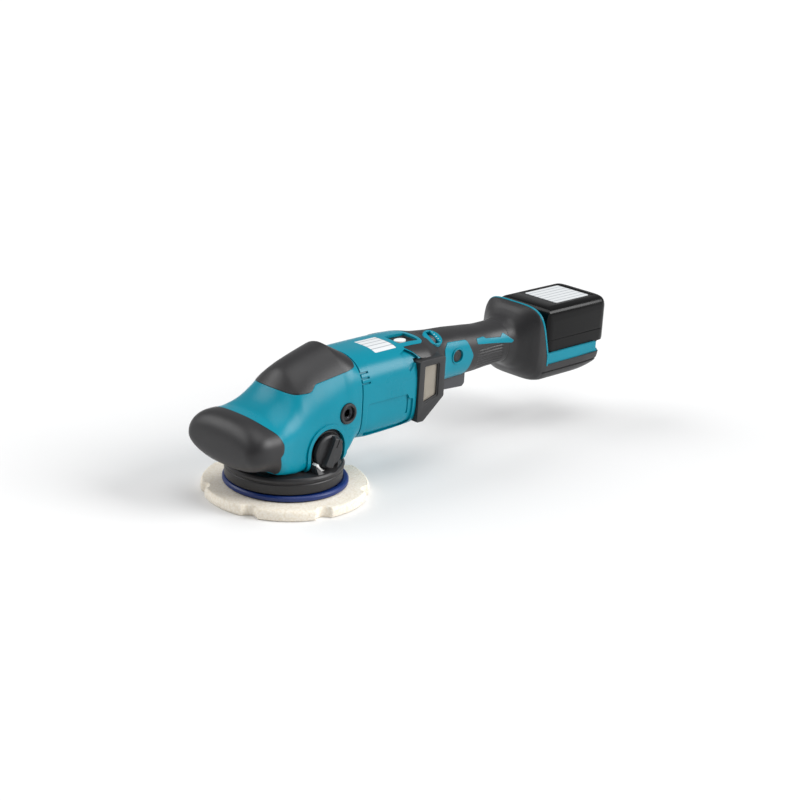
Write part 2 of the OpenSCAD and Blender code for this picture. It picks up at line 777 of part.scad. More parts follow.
// Side view outline of a dust cover, with its lower rear corner cut away.
module dust_outline(t = 0) {
    x0 = dust_x + t;
    x1 = dust_x + dust_len - t;
    z0 = dust_z + t;
    z1 = dust_z + dust_h - t;
    polygon([[x0, z0], [x0 + 9, z0], [x1, z0 + 22], [x1, z1], [x0, z1]]);
}

module dust_window() {
    x0 = dust_x + 9;
    z0 = dust_z + 20;
    polygon([[x0, z0], [x0 + 18, z0 + 5], [x0 + 18, dust_z + dust_h - 7],
        [x0, dust_z + dust_h - 7]]);
}

module dust_cover(s) {
    y0 = min(s * (dust_face - 12), s * dust_face);
    color(SOFT) difference() {
        side_cut(y0, y0 + 12) dust_outline();
        side_cut(min(s * (dust_face - 15), s * (dust_face - 3)),
            max(s * (dust_face - 15), s * (dust_face - 3))) dust_outline(3);
        side_cut(-80, 80) dust_window();
    }
}

module dust_mesh(s) {
    y0 = min(s * (dust_face - 4.5), s * (dust_face - 3.1));
    color("#b9b3a8") side_cut(y0, y0 + 1.4) offset(delta = 2) dust_window();
}

module dust_cover_left() { dust_cover(-1); }
module dust_cover_right() { dust_cover(1); }
module dust_mesh_left() { dust_mesh(-1); }
module dust_mesh_right() { dust_mesh(1); }

// ---- grip ---------------------------------------------------------------------------

// Side view outline of the teal panel that frames the lock button.
module panel_outline() {
    x = x_motor_end;
    polygon([[x + 18, axis_z + 2], [x + 20, axis_z + 24], [x + 27, axis_z + 30],
        [x + 56, axis_z + 28], [x + 65, axis_z + 10], [x + 60, axis_z - 4],
        [x + 50, axis_z - 30], [x + 18, axis_z - 30]]);
}

module grip_skin() {
    difference() {
        loft(GRIP);
        loft([for (s = GRIP) s + [s[0] == x_motor_end ? -1 : s[0] == x_grip_end ? 1 : 0,
            0, 0, 0, 0, 0, 0]], wall);
        block(trigger_x - 0.6, trigger_x + trigger_l + 0.6, -trigger_w / 2 - 0.6,
            trigger_w / 2 + 0.6, 0, axis_z);
        dial_frame() block(-dial_t / 2 - 0.8, dial_t / 2 + 0.8, -dial_d / 2 + 0.2,
            dial_d / 2 - 0.2, -9, 9);
    }
}

// Place of the speed dial on the grip's upper left side, with Z out of the skin.
module dial_frame() {
    translate([dial_x, dial_y, dial_z]) rotate([dial_tilt, 0, 0]) children();
}

// Places of the screws that join the grip's halves, as x and z.
GRIP_SCREWS = [[x_motor_end + 84, axis_z + 11], [x_grip_end - 14, axis_z + 11]];
screw_r = 1.9;
screw_head_r = 3.4;

module grip_half(s) {
    y0 = s < 0 ? -80 : 0.05;
    color(SOFT) difference() {
        union() {
            intersection() {
                grip_skin();
                block(x_motor_end + 0.2, x_grip_end - 0.2, y0, y0 + 79.95, 0, 200);
            }
            if (s < 0) for (p = GRIP_SCREWS) bar_y(4.5, -grip_w / 2 + 4.5, -5, p[0], p[1]);
        }
        for (p = GRIP_SCREWS) {
            if (s < 0) bar_y(screw_r + 0.02, -14, 0, p[0], p[1]);
            else bar_y(screw_head_r + gap, 10, 60, p[0], p[1]);
        }
        side_cut(min(s * 15, s * 80), max(s * 15, s * 80)) panel_outline();
        dial_frame() cylinder(r = bezel_r + 0.1, h = 18, center = true);
    }
}

module side_panel(s) {
    color(TEAL) difference() {
        intersection() {
            grip_skin();
            side_cut(min(s * 15, s * 80), max(s * 15, s * 80)) panel_outline();
        }
        if (s < 0) bar_y(button_d / 2 + gap, -80, 0, button_x, button_z);
    }
}

module grip_left() { grip_half(-1); }
module grip_right() { grip_half(1); }
module side_panel_left() { side_panel(-1); }
module side_panel_right() { side_panel(1); }

// Screws through the far half of the grip.
module grip_screws() {
    head = grip_w / 2 - 5;
    color("#2d2d30") for (p = GRIP_SCREWS) difference() {
        union() {
            bar_y(screw_r, -13.5, head, p[0], p[1]);
            bar_y(screw_head_r, head, head + 2.5, p[0], p[1]);
        }
        bar_y(1.6, head + 1, grip_w, p[0], p[1], $fn = 6);
    }
}

// Ring let into the grip's skin round the speed dial's slot.
module dial_bezel() {
    color(TEAL) intersection() {
        grip_skin();
        dial_frame() cylinder(r = bezel_r, h = 18, center = true);
    }
}

module speed_dial() {
    r = dial_d / 2;
    color("#3c3d40") dial_frame() translate([0, 0, 0.8 - r]) rotate([0, 90, 0]) difference() {
        cylinder(r = r, h = dial_t, center = true);
        cylinder(r = 2.5, h = 20, center = true);
        for (i = [0 : 17]) rotate(20 * i) translate([r, 0, 0]) rotate(45)
            cube([1, 1, 20], center = true);
    }
}

trigger_low = axis_z - 16 - trigger_drop;
flange_z = axis_z - 7.5;
plunger_z = axis_z;

module trigger() {
    x0 = trigger_x;
    x1 = trigger_x + trigger_l;
    w = trigger_w / 2;
    color("#55565a") difference() {
        union() {
            side_cut(-w, w) polygon([[x0, trigger_low + 6], [x0 + 6, trigger_low + 2],
                [x1 - 3, trigger_low], [x1, trigger_low + 3], [x1, flange_z], [x0, flange_z]]);
            block(x0 - 2, x1 + 2, -w - 1.5, w + 1.5, flange_z, flange_z + 1.5);
        }
        block(x0 + 3, x1 - 3, -w + 2.5, w - 2.5, trigger_low + 6, axis_z);
    }
}

module trigger_spring() {
    x = trigger_x + 14;
    color(STEEL) difference() {
        bar_z(5, trigger_low + 6.1, plunger_z - 0.1, x);
        bar_z(3.8, 0, axis_z + 10, x);
    }
}

module switch_body() {
    color("#202124") difference() {
        block(trigger_x - 4, trigger_x + 46, -10, 10, plunger_z + 2, plunger_z + 20);
        block(button_x - 9, button_x + 9, -11, -3, button_z - 9, button_z + 9);
    }
    color("#202124") block(trigger_x + 8, trigger_x + 20, -6, 6, plunger_z, plunger_z + 2);
}

module lock_button() {
    color("#6a6a6e") {
        bar_y(button_d / 2, -grip_w / 2 - 1, -grip_w / 2 + 7, button_x, button_z);
        bar_y(3, -grip_w / 2 + 7, -8, button_x, button_z);
    }
}

// ---- battery shoe -------------------------------------------------------------------

// Side view of the space that the battery takes in the shoe, with a raked front.
module bay_outline(t = 0) {
    polygon([[x_grip_end + 27 + t, axis_z + 70], [x_grip_end + 42 + t, batt_z - 2],
        [x_grip_end + 42 + t, sole_top + t], [sole_end + 60, sole_top + t],
        [sole_end + 60, axis_z + 70]]);
}

module battery_shoe() {
    color(SOFT) difference() {
        loft(SHOE);
        side_cut(-90, 90) bay_outline();
        loft([for (s = SHOE) if (s[0] < x_grip_end + 20)
            s + [s[0] == x_grip_end ? -1 : 0, 0, 0, 0, 0, 0, 0]], wall);
    }
}

// Thin teal face behind the shoe's rim, with the two rails beside the battery.
module shoe_liner() {
    w = batt_w / 2 + 0.5;
    color(TEAL) {
        difference() {
            intersection() {
                loft(SHOE, 1.3);
                side_cut(-90, 90) difference() {
                    bay_outline();
                    bay_outline(1.6);
                }
            }
            block(x_grip_end, x_grip_end + 60, -24, 24, sole_top + 1.7, batt_z + 6);
        }
        for (s = [-1, 1]) {
            y0 = s < 0 ? -shoe_w / 2 + 1.3 : w;
            block(x_grip_end + 43.7, sole_end - 8, y0, y0 + shoe_w / 2 - 1.3 - w,
                sole_top + 1.6, batt_z + 1);
        }
    }
}

module terminal_block() {
    x0 = x_grip_end + 46;
    color("#17171a") block(x0, x0 + 44, -20, 20, sole_top + 1.8, sole_top + 5);
    color("#c9b26a") for (y = [-16, 16]) block(x0 + 4, x0 + 30, y - 0.5, y + 0.5,
        sole_top + 5, sole_top + 9);
}

// ---- battery ------------------------------------------------------------------------

module battery_case() {
    r = 7;
    color("#1a1a1c") difference() {
        union() {
            round_block(batt_x, batt_end, batt_w, batt_z + 0.3, batt_top, r);
            round_block(batt_nose_x, batt_x + 1, batt_w - 6, batt_z + 4, batt_top - 4, 5);
            round_block(batt_x + 2, batt_end - 5, batt_w - 8, batt_z - 8, batt_z + 6, 2);
        }
        round_block(batt_x + 1.9, batt_end - 1.9, batt_w - 3.8, batt_z + 2, batt_top - 2, 5);
        block(batt_x - 1, batt_end - 30, -21, 21, batt_z - 12, batt_z - 0.5);
        block(batt_end - 24, batt_end + 1, -12.3, 12.3, batt_z - 9, batt_z + 12);
        block(batt_x + 1, batt_end - 24, -14, 14, batt_z - 1, batt_z + 3);
    }
}

module battery_cells() {
    step = (batt_len - 5) / 5;
    cell_r = min(9.05, step / 2 - 0.1);
    color("#2f7f9e") for (i = [0 : 4], j = [0, 1])
        bar_y(cell_r, -32.5, 32.5, batt_x + 2.5 + step * (i + 0.5),
            batt_top - 2.6 - cell_r - j * (2 * cell_r + 0.4));
}

module battery_latch() {
    x1 = batt_end + 1;
    color("#303134") {
        block(batt_end - 1.6, x1, -12, 12, batt_z - 3, batt_z + 8);
        block(batt_end - 23.7, batt_end - 1.6, -12, 12, batt_z - 8, batt_z - 5);
        block(batt_end - 8, batt_end - 1.6, -12, 12, batt_z - 5, batt_z - 3);
        block(batt_end - 3.6, batt_end - 1.6, -12, 12, batt_z - 3, batt_z + 2);
    }
}

module latch_spring() {
    x = batt_end - 16;
    color(STEEL) difference() {
        bar_z(3, batt_z - 4.9, batt_z + 1.9, x);
        bar_z(2.2, batt_z - 20, batt_z + 20, x);
    }
}

// ---- assembly -----------------------------------------------------------------------

polishing_pad();
hook_disc();
backing_plate();
pad_bolt();
pad_shaft();
pad_bearings();
spindle();
counterweight();
bevel_gear();
bearing_retainer();
ring_gear();
lock_slider();
mode_knob();
knob_shaft();
knob_surround();
bearing_box();
gear_housing();
spindle_bearing_lower();
spindle_bearing_upper();
skirt();
head_cover();
nose_grip();
crown_grip();
insert_left();
insert_right();
insert_rings();
bevel_pinion();
motor_shaft();
rotor_core();
fan();
motor_bearing_front();
motor_bearing_rear();
stator_core();
stator_coils();
motor_housing();
controller();
top_plate();
indicator_window();
dust_cover_left();
dust_cover_right();
dust_mesh_left();
dust_mesh_right();
grip_left();
grip_right();
side_panel_left();
side_panel_right();
grip_screws();
dial_bezel();
speed_dial();
trigger();
trigger_spring();
switch_body();
lock_button();
battery_shoe();
shoe_liner();
terminal_block();
battery_case();
battery_cells();
battery_latch();
latch_spring();
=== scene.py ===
"""Cordless dual action polisher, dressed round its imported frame.

Sizes are in millimetres in this file and turned to metres as each mesh is made. The frame's
origin is on the drive spindle at the pad's working face: +Z is up, +X runs to the battery
and -Y is the side with the mode knob.
"""

import json
import logging
import math
from dataclasses import dataclass
from enum import Enum
from typing import Any, Callable, NamedTuple, Optional, Sequence

import bmesh
import bpy
import numpy as np
from mathutils import Matrix, Vector, noise

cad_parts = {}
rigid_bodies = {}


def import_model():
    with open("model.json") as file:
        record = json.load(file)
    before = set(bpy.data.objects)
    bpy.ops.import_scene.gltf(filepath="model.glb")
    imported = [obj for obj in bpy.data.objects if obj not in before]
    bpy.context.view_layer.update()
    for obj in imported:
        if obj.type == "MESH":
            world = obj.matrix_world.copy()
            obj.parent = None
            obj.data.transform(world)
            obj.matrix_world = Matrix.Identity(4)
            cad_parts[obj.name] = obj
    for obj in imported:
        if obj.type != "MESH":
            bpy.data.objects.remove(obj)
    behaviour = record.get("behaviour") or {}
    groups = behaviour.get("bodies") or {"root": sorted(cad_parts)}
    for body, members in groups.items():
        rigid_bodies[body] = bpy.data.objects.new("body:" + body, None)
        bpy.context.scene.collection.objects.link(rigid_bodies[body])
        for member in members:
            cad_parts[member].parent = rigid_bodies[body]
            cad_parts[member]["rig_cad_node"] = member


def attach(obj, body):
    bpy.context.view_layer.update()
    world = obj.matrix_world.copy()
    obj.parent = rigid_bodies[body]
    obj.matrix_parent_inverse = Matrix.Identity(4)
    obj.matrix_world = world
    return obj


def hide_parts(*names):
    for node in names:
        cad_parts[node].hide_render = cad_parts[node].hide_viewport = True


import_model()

log = logging.getLogger("polisher")
MM = 0.001
PointXZ = tuple[float, float]


class Body(Enum):
    """Moving groups of the polisher, by their names in the frame."""

    HOUSING = "housing"
    SPINDLE = "spindle"
    PAD = "pad"
    KNOB = "mode_knob"
    DIAL = "speed_dial"
    TRIGGER = "trigger"
    BUTTON = "lock_button"
    DUST_LEFT = "dust_cover_left"
    DUST_RIGHT = "dust_cover_right"
    BATTERY = "battery"
    LATCH = "battery_latch"


class Cut(Enum):
    """Ways to combine two solids."""

    AWAY = "DIFFERENCE"
    KEEP = "INTERSECT"
    JOIN = "UNION"


# ---- finishes ------------------------------------------------------------------------


def linear(hex_colour: str) -> tuple[float, float, float, float]:
    """Turns an sRGB hex colour into linear RGBA."""
    parts = [int(hex_colour[i : i + 2], 16) / 255 for i in (1, 3, 5)]
    flat = [c / 12.92 if c <= 0.04045 else ((c + 0.055) / 1.055) ** 2.4 for c in parts]
    return flat[0], flat[1], flat[2], 1.0


def add_node(tree: bpy.types.NodeTree, kind: str, settings: Optional[dict[Any, Any]] = None,
             links: Optional[dict[Any, bpy.types.NodeSocket]] = None) -> bpy.types.Node:
    """Adds one node to a tree.

    Args:
        tree: The node tree.
        kind: The node's type name.
        settings: Attribute or input names with plain values.
        links: Input names with the output sockets that feed them.

    Returns:
        The new node.
    """
    node = tree.nodes.new(kind)
    for key, value in (settings or {}).items():
        if isinstance(key, int) or key in node.inputs:
            node.inputs[key].default_value = value
        else:
            setattr(node, key, value)
    for key, socket in (links or {}).items():
        tree.links.new(socket, node.inputs[key])
    return node


@dataclass(frozen=True)
class Finish:
    """A moulded or coated surface with fine grain, faint colour drift and handling marks."""

    name: str
    slot: str
    colour: str
    roughness: float
    grain_mm: float = 0.6
    relief_mm: float = 0.03
    drift: float = 0.04
    ior: float = 1.5
    coat: float = 0.0
    coat_roughness: float = 0.1
    sheen: float = 0.0
    stretch: tuple[float, float, float] = (1.0, 1.0, 1.0)
    metallic: float = 0.0

    def build(self) -> bpy.types.Material:
        """Makes the material, or returns the one made before.

        Returns:
            The material.
        """
        found = bpy.data.materials.get(self.name)
        if found:
            return found
        material = bpy.data.materials.new(self.name)
        material.use_nodes = True
        tree = material.node_tree
        tree.nodes.clear()
        where = add_node(tree, "ShaderNodeTexCoord").outputs["Object"]
        shader = add_node(tree, "ShaderNodeBsdfPrincipled", {
            "Roughness": self.roughness, "Metallic": self.metallic, "IOR": self.ior,
            "Coat Weight": self.coat, "Coat Roughness": self.coat_roughness,
            "Sheen Weight": self.sheen, "Sheen Roughness": 0.4})
        self.paint(tree, shader, where)
        out = add_node(tree, "ShaderNodeOutputMaterial")
        tree.links.new(shader.outputs["BSDF"], out.inputs["Surface"])
        return material

    def paint(self, tree: bpy.types.NodeTree, shader: bpy.types.Node, where: bpy.types.NodeSocket) -> None:
        """Feeds the shader's colour, roughness and normal.

        Args:
            tree: The material's tree.
            shader: The surface shader.
            where: Object coordinates.
        """
        placed = add_node(tree, "ShaderNodeMapping", {"Scale": self.stretch},
                          {"Vector": where}).outputs["Vector"]
        grain = add_node(tree, "ShaderNodeTexNoise", {"Scale": 1 / (self.grain_mm * MM), "Detail": 3.0,
            "Roughness": 0.6}, {"Vector": placed})
        cloud = add_node(tree, "ShaderNodeTexNoise", {"Scale": 22.0, "Detail": 4.0}, {"Vector": where})
        self.tint(tree, shader, cloud.outputs["Fac"], grain.outputs["Fac"], where)
        rub = add_node(tree, "ShaderNodeMapRange", {"From Min": 0.3, "From Max": 0.7,
            "To Min": max(0.02, self.roughness * 0.86), "To Max": min(1.0, self.roughness * 1.14)},
            {"Value": cloud.outputs["Fac"]})
        tree.links.new(rub.outputs["Result"], shader.inputs["Roughness"])
        if self.relief_mm > 0:
            bump = add_node(tree, "ShaderNodeBump", {"Strength": 1.0, "Distance": self.relief_mm * MM},
                            {"Height": grain.outputs["Fac"]})
            tree.links.new(bump.outputs["Normal"], shader.inputs["Normal"])

    def tint(self, tree: bpy.types.NodeTree, shader: bpy.types.Node, cloud: bpy.types.NodeSocket,
             grain: bpy.types.NodeSocket, where: bpy.types.NodeSocket) -> None:
        """Lets the colour drift a little between two shades.

        Args:
            tree: The material's tree.
            shader: The surface shader.
            cloud: Slow noise, 0 to 1.
            grain: Fine noise, 0 to 1; not used.
            where: Object coordinates; not used here.
        """
        base = linear(self.colour)
        ramp = add_node(tree, "ShaderNodeValToRGB", links={"Fac": cloud})
        for element, gain, place in zip(ramp.color_ramp.elements, (1 - self.drift, 1 + self.drift),
                                        (0.35, 0.65)):
            element.position = place
            element.color = tuple(min(1.0, c * gain) for c in base[:3]) + (1.0,)
        tree.links.new(ramp.outputs["Color"], shader.inputs["Base Color"])


@dataclass(frozen=True)
class PileFinish(Finish):
    """Short fibre pile with painted shade: the hollows between tufts are coloured darker and warmer."""

    # Colour of the painted shade in the hollows between tufts.
    hollow: str = "#C9BDA6"
    tuft_mm: float = 2.2

    def tint(self, tree: bpy.types.NodeTree, shader: bpy.types.Node, cloud: bpy.types.NodeSocket,
             grain: bpy.types.NodeSocket, where: bpy.types.NodeSocket) -> None:
        """Mixes the tuft colour and the painted shade of the hollows over a cell pattern of tuft size."""
        cells = add_node(tree, "ShaderNodeTexVoronoi", {"Scale": 1 / (self.tuft_mm * MM)},
                         {"Vector": where})
        # Painted shade: towards the edge of each tuft cell, the colour turns to the darker hollow colour.
        ramp = add_node(tree, "ShaderNodeValToRGB", links={"Fac": cells.outputs["Distance"]})
        ramp.color_ramp.elements[0].color = linear(self.colour)
        ramp.color_ramp.elements[0].position = 0.25
        ramp.color_ramp.elements[1].color = linear(self.hollow)
        ramp.color_ramp.elements[1].position = 0.95
        tree.links.new(ramp.outputs["Color"], shader.inputs["Base Color"])


@dataclass(frozen=True)
class FilmFinish(Finish):
    """Printed film with plain pale bars and no lettering."""

    bar: str = "#9FA4A8"
    bar_mm: float = 7.0

    def tint(self, tree: bpy.types.NodeTree, shader: bpy.types.Node, cloud: bpy.types.NodeSocket,
             grain: bpy.types.NodeSocket, where: bpy.types.NodeSocket) -> None:
        """Draws evenly spaced bars across the film."""
        split = add_node(tree, "ShaderNodeSeparateXYZ", links={"Vector": where})
        wave = add_node(tree, "ShaderNodeMath", {"operation": "PINGPONG", 1: self.bar_mm * MM / 2},
                        {0: split.outputs["Y"]})
        edge = add_node(tree, "ShaderNodeMapRange", {"From Min": self.bar_mm * MM * 0.4,
            "From Max": self.bar_mm * MM * 0.42}, {"Value": wave.outputs[0]})
        ramp = add_node(tree, "ShaderNodeValToRGB", links={"Fac": edge.outputs["Result"]})
        ramp.color_ramp.elements[0].color = linear(self.colour)
        ramp.color_ramp.elements[1].color = linear(self.bar)
        tree.links.new(ramp.outputs["Color"], shader.inputs["Base Color"])


# Moulded ABS from a satin tool: clean colour with a soft broad highlight.
TEAL_ABS = Finish("teal moulded ABS", "teal_shell", "#008297", 0.3, 0.5, 0.012, 0.03, 1.3)
# Thermoplastic elastomer moulded over ABS: dull, nearly black, with a dusty sheen.
ELASTOMER = Finish("overmoulded elastomer", "soft_rubber", "#1D1C1E", 0.44, 0.55, 0.035, 0.07, 1.48, 0.0,
                   0.1, 0.05)
# Polished polycarbonate blend of the battery case: deep black with sharp reflections.
POLYCARBONATE = Finish("polished polycarbonate", "black_gloss", "#09090A", 0.24, 1.2, 0.004, 0.05, 1.25,
                       0.03, 0.1)
# Spark-eroded nylon of small black parts: matt with a fine even grain.
NYLON = Finish("spark-eroded nylon", "dark_plastic", "#242426", 0.46, 0.45, 0.03, 0.05)
# Glass-filled nylon in grey, smooth from handling.
GREY_NYLON = Finish("satin grey nylon", "grey_plastic", "#3E3F43", 0.42, 0.5, 0.02, 0.05)
# Cast polyurethane of the backing plate: deep blue, with a soft shine on its rim.
URETHANE = Finish("cast blue polyurethane", "blue_plate", "#07296B", 0.38, 0.8, 0.02, 0.06)
# Microfibre pile, sheared short: matt cream, with painted shade in the fine hollows. Tufts are drawn 2 mm
# wide.
MICROFIBRE = PileFinish("sheared microfibre pile", "pad_fibre", "#FAF3E6", 0.92, 0.9, 0.1, 0.02,
                        sheen=0.25, hollow="#EDE2CE")
# Knitted polyester filter net: fine beige threads.
FILTER_NET = Finish("polyester filter net", "mesh_cloth", "#B7B0A4", 0.75, 0.4, 0.03, 0.08)
# Open-cell filter sheet behind the net: dull and a little darker than the threads.
FILTER_FOAM = Finish("filter foam", "mesh_cloth", "#8E877B", 0.9, 0.7, 0.1, 0.12)
# Printed polyester label film, blank: pale and slightly glossy.
LABEL_FILM = FilmFinish("printed label film", "blank_label", "#DCDFE1", 0.28, 1.5, 0.004, 0.02)
# Woven hook tape: dull black, coarse to the eye.
HOOK_TAPE = Finish("woven hook tape", "hook_fabric", "#232326", 0.9, 0.6, 0.15, 0.08)
# Turned and ground carbon steel: bright, with fine lines along the turning.
STEEL = Finish("ground carbon steel", "steel", "#B9BBBE", 0.28, 0.3, 0.008, 0.06, metallic=1.0,
               stretch=(1.0, 1.0, 12.0))
# Case-hardened gear steel with a thin oil film.
GEAR_STEEL = Finish("case-hardened gear steel", "gear_steel", "#84878B", 0.36, 0.3, 0.01, 0.08,
                    metallic=1.0)
# Blackened steel of the side handle's inserts: dark, with a dull metal edge.
BLACK_OXIDE = Finish("black oxide steel", "steel", "#3A3B3E", 0.34, 0.3, 0.01, 0.06, metallic=1.0)
# Die cast aluminium, bead blasted: pale grey with a satin grain.
ALUMINIUM = Finish("die cast aluminium", "cast_aluminium", "#A4A8AC", 0.45, 0.5, 0.03, 0.06, metallic=1.0)
# Enamelled copper wire: warm, with the lines of the winding.
COPPER = Finish("enamelled copper wire", "copper", "#A8642F", 0.34, 0.7, 0.05, 0.1, metallic=1.0,
                stretch=(0.1, 1.0, 1.0))
# Heat-shrunk cell wrap: smooth, thin and glossy.
SHRINK_WRAP = Finish("heat-shrunk cell wrap", "cell_wrap", "#2C6F89", 0.3, 1.0, 0.01, 0.06)
# Glass-epoxy board with potting: green under a clear skin.
EPOXY = Finish("glass-epoxy board", "board", "#1E5534", 0.4, 0.6, 0.02, 0.1)
# White pad-printed ink: flat, thin and slightly chalky. It also colours the painted highlight crescent
# under the mode knob.
WHITE_PRINT_AND_HIGHLIGHT = Finish("white pad print", "blank_label", "#E9EAE8", 0.4, 1.0, 0.004, 0.02)


# ---- curves and outlines -------------------------------------------------------------


class Station(NamedTuple):
    """Cross-section of a body that runs along X, as a superellipse in Y and Z.

    It is widest at height wide, where it reaches half to each side. above and below are the
    powers of its upper and lower part, and a higher power is squarer.
    """

    x: float
    half: float
    wide: float
    top: float
    low: float
    above: float
    below: float


def monotone(xs: np.ndarray, ys: np.ndarray, at: np.ndarray) -> np.ndarray:
    """Interpolates smoothly without overshoot.

    Args:
        xs: Increasing places.
        ys: Values there.
        at: Places to read.

    Returns:
        Values at those places.
    """
    step = np.diff(xs)
    slope = np.diff(ys) / step
    tangent = np.zeros_like(ys)
    same = slope[:-1] * slope[1:] > 0
    w1, w2 = 2 * step[1:] + step[:-1], step[1:] + 2 * step[:-1]
    with np.errstate(divide="ignore", invalid="ignore"):
        inner = (w1 + w2) / (w1 / slope[:-1] + w2 / slope[1:])
    tangent[1:-1] = np.where(same, inner, 0)
    tangent[0], tangent[-1] = slope[0], slope[-1]
    k = np.clip(np.searchsorted(xs, at) - 1, 0, len(step) - 1)
    t = (at - xs[k]) / step[k]
    return ((1 + 2 * t) * (1 - t) ** 2 * ys[k] + t * (1 - t) ** 2 * step[k] * tangent[k]
            + t * t * (3 - 2 * t) * ys[k + 1] + t * t * (t - 1) * step[k] * tangent[k + 1])


def fillet(points: Sequence[PointXZ], radius: float | Sequence[float], steps: int = 7) -> list[PointXZ]:
    """Rounds the corners of a closed outline.

    Args:
        points: The corners in order.
        radius: One radius, or one for each corner.
        steps: Points on each rounded corner.

    Returns:
        The outline with its corners rounded.
    """
    count = len(points)
    radii = [radius] * count if isinstance(radius, (int, float)) else list(radius)
    out: list[PointXZ] = []
    for i, r in enumerate(radii):
        here, before, after = (np.array(points[j % count], float) for j in (i, i - 1, i + 1))
        a, b = before - here, after - here
        la, lb = np.linalg.norm(a), np.linalg.norm(b)
        half = math.acos(max(-1.0, min(1.0, float(a @ b / (la * lb))))) / 2
        reach = min(r / math.tan(half), la * 0.49, lb * 0.49) if half > 0.01 else 0
        if r <= 0 or half > 1.5 or reach < 0.02:
            out.append((float(here[0]), float(here[1])))
            continue
        p, q = here + a / la * reach, here + b / lb * reach
        for t in np.linspace(0, 1, steps):
            bend = (1 - t) ** 2 * p + 2 * t * (1 - t) * here + t * t * q
            out.append((float(bend[0]), float(bend[1])))
    return out


def grown(points: Sequence[PointXZ], by: float) -> list[PointXZ]:
    """Offsets a closed outline outwards, or inwards for a negative distance."""
    p = np.array(points, float)
    area = np.sum(p[:, 0] * np.roll(p[:, 1], -1) - np.roll(p[:, 0], -1) * p[:, 1])
    side = 1 if area > 0 else -1
    a = p - np.roll(p, 1, 0)
    b = np.roll(p, -1, 0) - p
    na, nb = (side * np.stack([v[:, 1], -v[:, 0]], 1) / np.maximum(np.linalg.norm(v, axis=1), 1e-9)[:,
        None] for v in (a, b))
    mid = na + nb
    mid /= np.maximum(np.linalg.norm(mid, axis=1), 1e-6)[:, None]
    length = by / np.maximum((mid * na).sum(1), 0.35)
    return [tuple(q) for q in (p + mid * length[:, None])]


def circle(x: float, z: float, r: float, steps: int = 72) -> list[PointXZ]:
    """Round outline about a point."""
    return [(x + r * math.cos(2 * math.pi * i / steps), z + r * math.sin(2 * math.pi * i / steps))
            for i in range(steps)]


# ---- meshes --------------------------------------------------------------------------


def make(name: str, verts: Sequence, faces: Sequence) -> bpy.types.Object:
    """Makes an object from points in millimetres.

    Args:
        name: The object's name.
        verts: Points in millimetres.
        faces: Point numbers of each face.

    Returns:
        The new object, with its normals pointing out.
    """
    mesh = bpy.data.meshes.new(name)
    mesh.from_pydata([tuple(float(c) * MM for c in v) for v in verts], [], [tuple(int(i) for i in f)
        for f in faces])
    piece = bpy.data.objects.new(name, mesh)
    bpy.context.collection.objects.link(piece)
    tidy(piece)
    return piece


def tidy(piece: bpy.types.Object, merge: float = 1e-6) -> None:
    """Merges doubled points and turns every face outwards.

    Args:
        piece: The piece.
        merge: Points closer than this many metres become one.
    """
    bm = bmesh.new()
    bm.from_mesh(piece.data)
    bmesh.ops.remove_doubles(bm, verts=bm.verts, dist=merge)
    bmesh.ops.recalc_face_normals(bm, faces=bm.faces)
    bm.to_mesh(piece.data)
    bm.free()


def bake(piece: bpy.types.Object) -> bpy.types.Object:
    """Turns a piece's modifiers into plain mesh."""
    bpy.context.view_layer.update()
    graph = bpy.context.evaluated_depsgraph_get()
    mesh = bpy.data.meshes.new_from_object(piece.evaluated_get(graph))
    piece.modifiers.clear()
    old = piece.data
    piece.data = mesh
    bpy.data.meshes.remove(old)
    return piece


def copy_of(piece: bpy.types.Object, name: str) -> bpy.types.Object:
    """Copies a piece with its own mesh."""
    twin = piece.copy()
    twin.data = piece.data.copy()
    twin.name = name
    bpy.context.collection.objects.link(twin)
    return twin


def combine(piece: bpy.types.Object, tool: bpy.types.Object, how: Cut) -> bpy.types.Object:
    """Combines a piece with a tool solid.

    Args:
        piece: The piece that changes.
        tool: The solid it is combined with, used up by the cut.
        how: Cut away, keep the common part, or join.

    Returns:
        The changed piece.
    """
    change = piece.modifiers.new("cut", "BOOLEAN")
    change.operation, change.object, change.solver = how.value, tool, "MANIFOLD"
    before = len(piece.data.polygons)
    bake(piece)
    if len(piece.data.polygons) == 0:
        log.warning("%s is empty after %s with %s (had %d faces)", piece.name, how.value, tool.name, before)
    bpy.data.objects.remove(tool)
    return piece


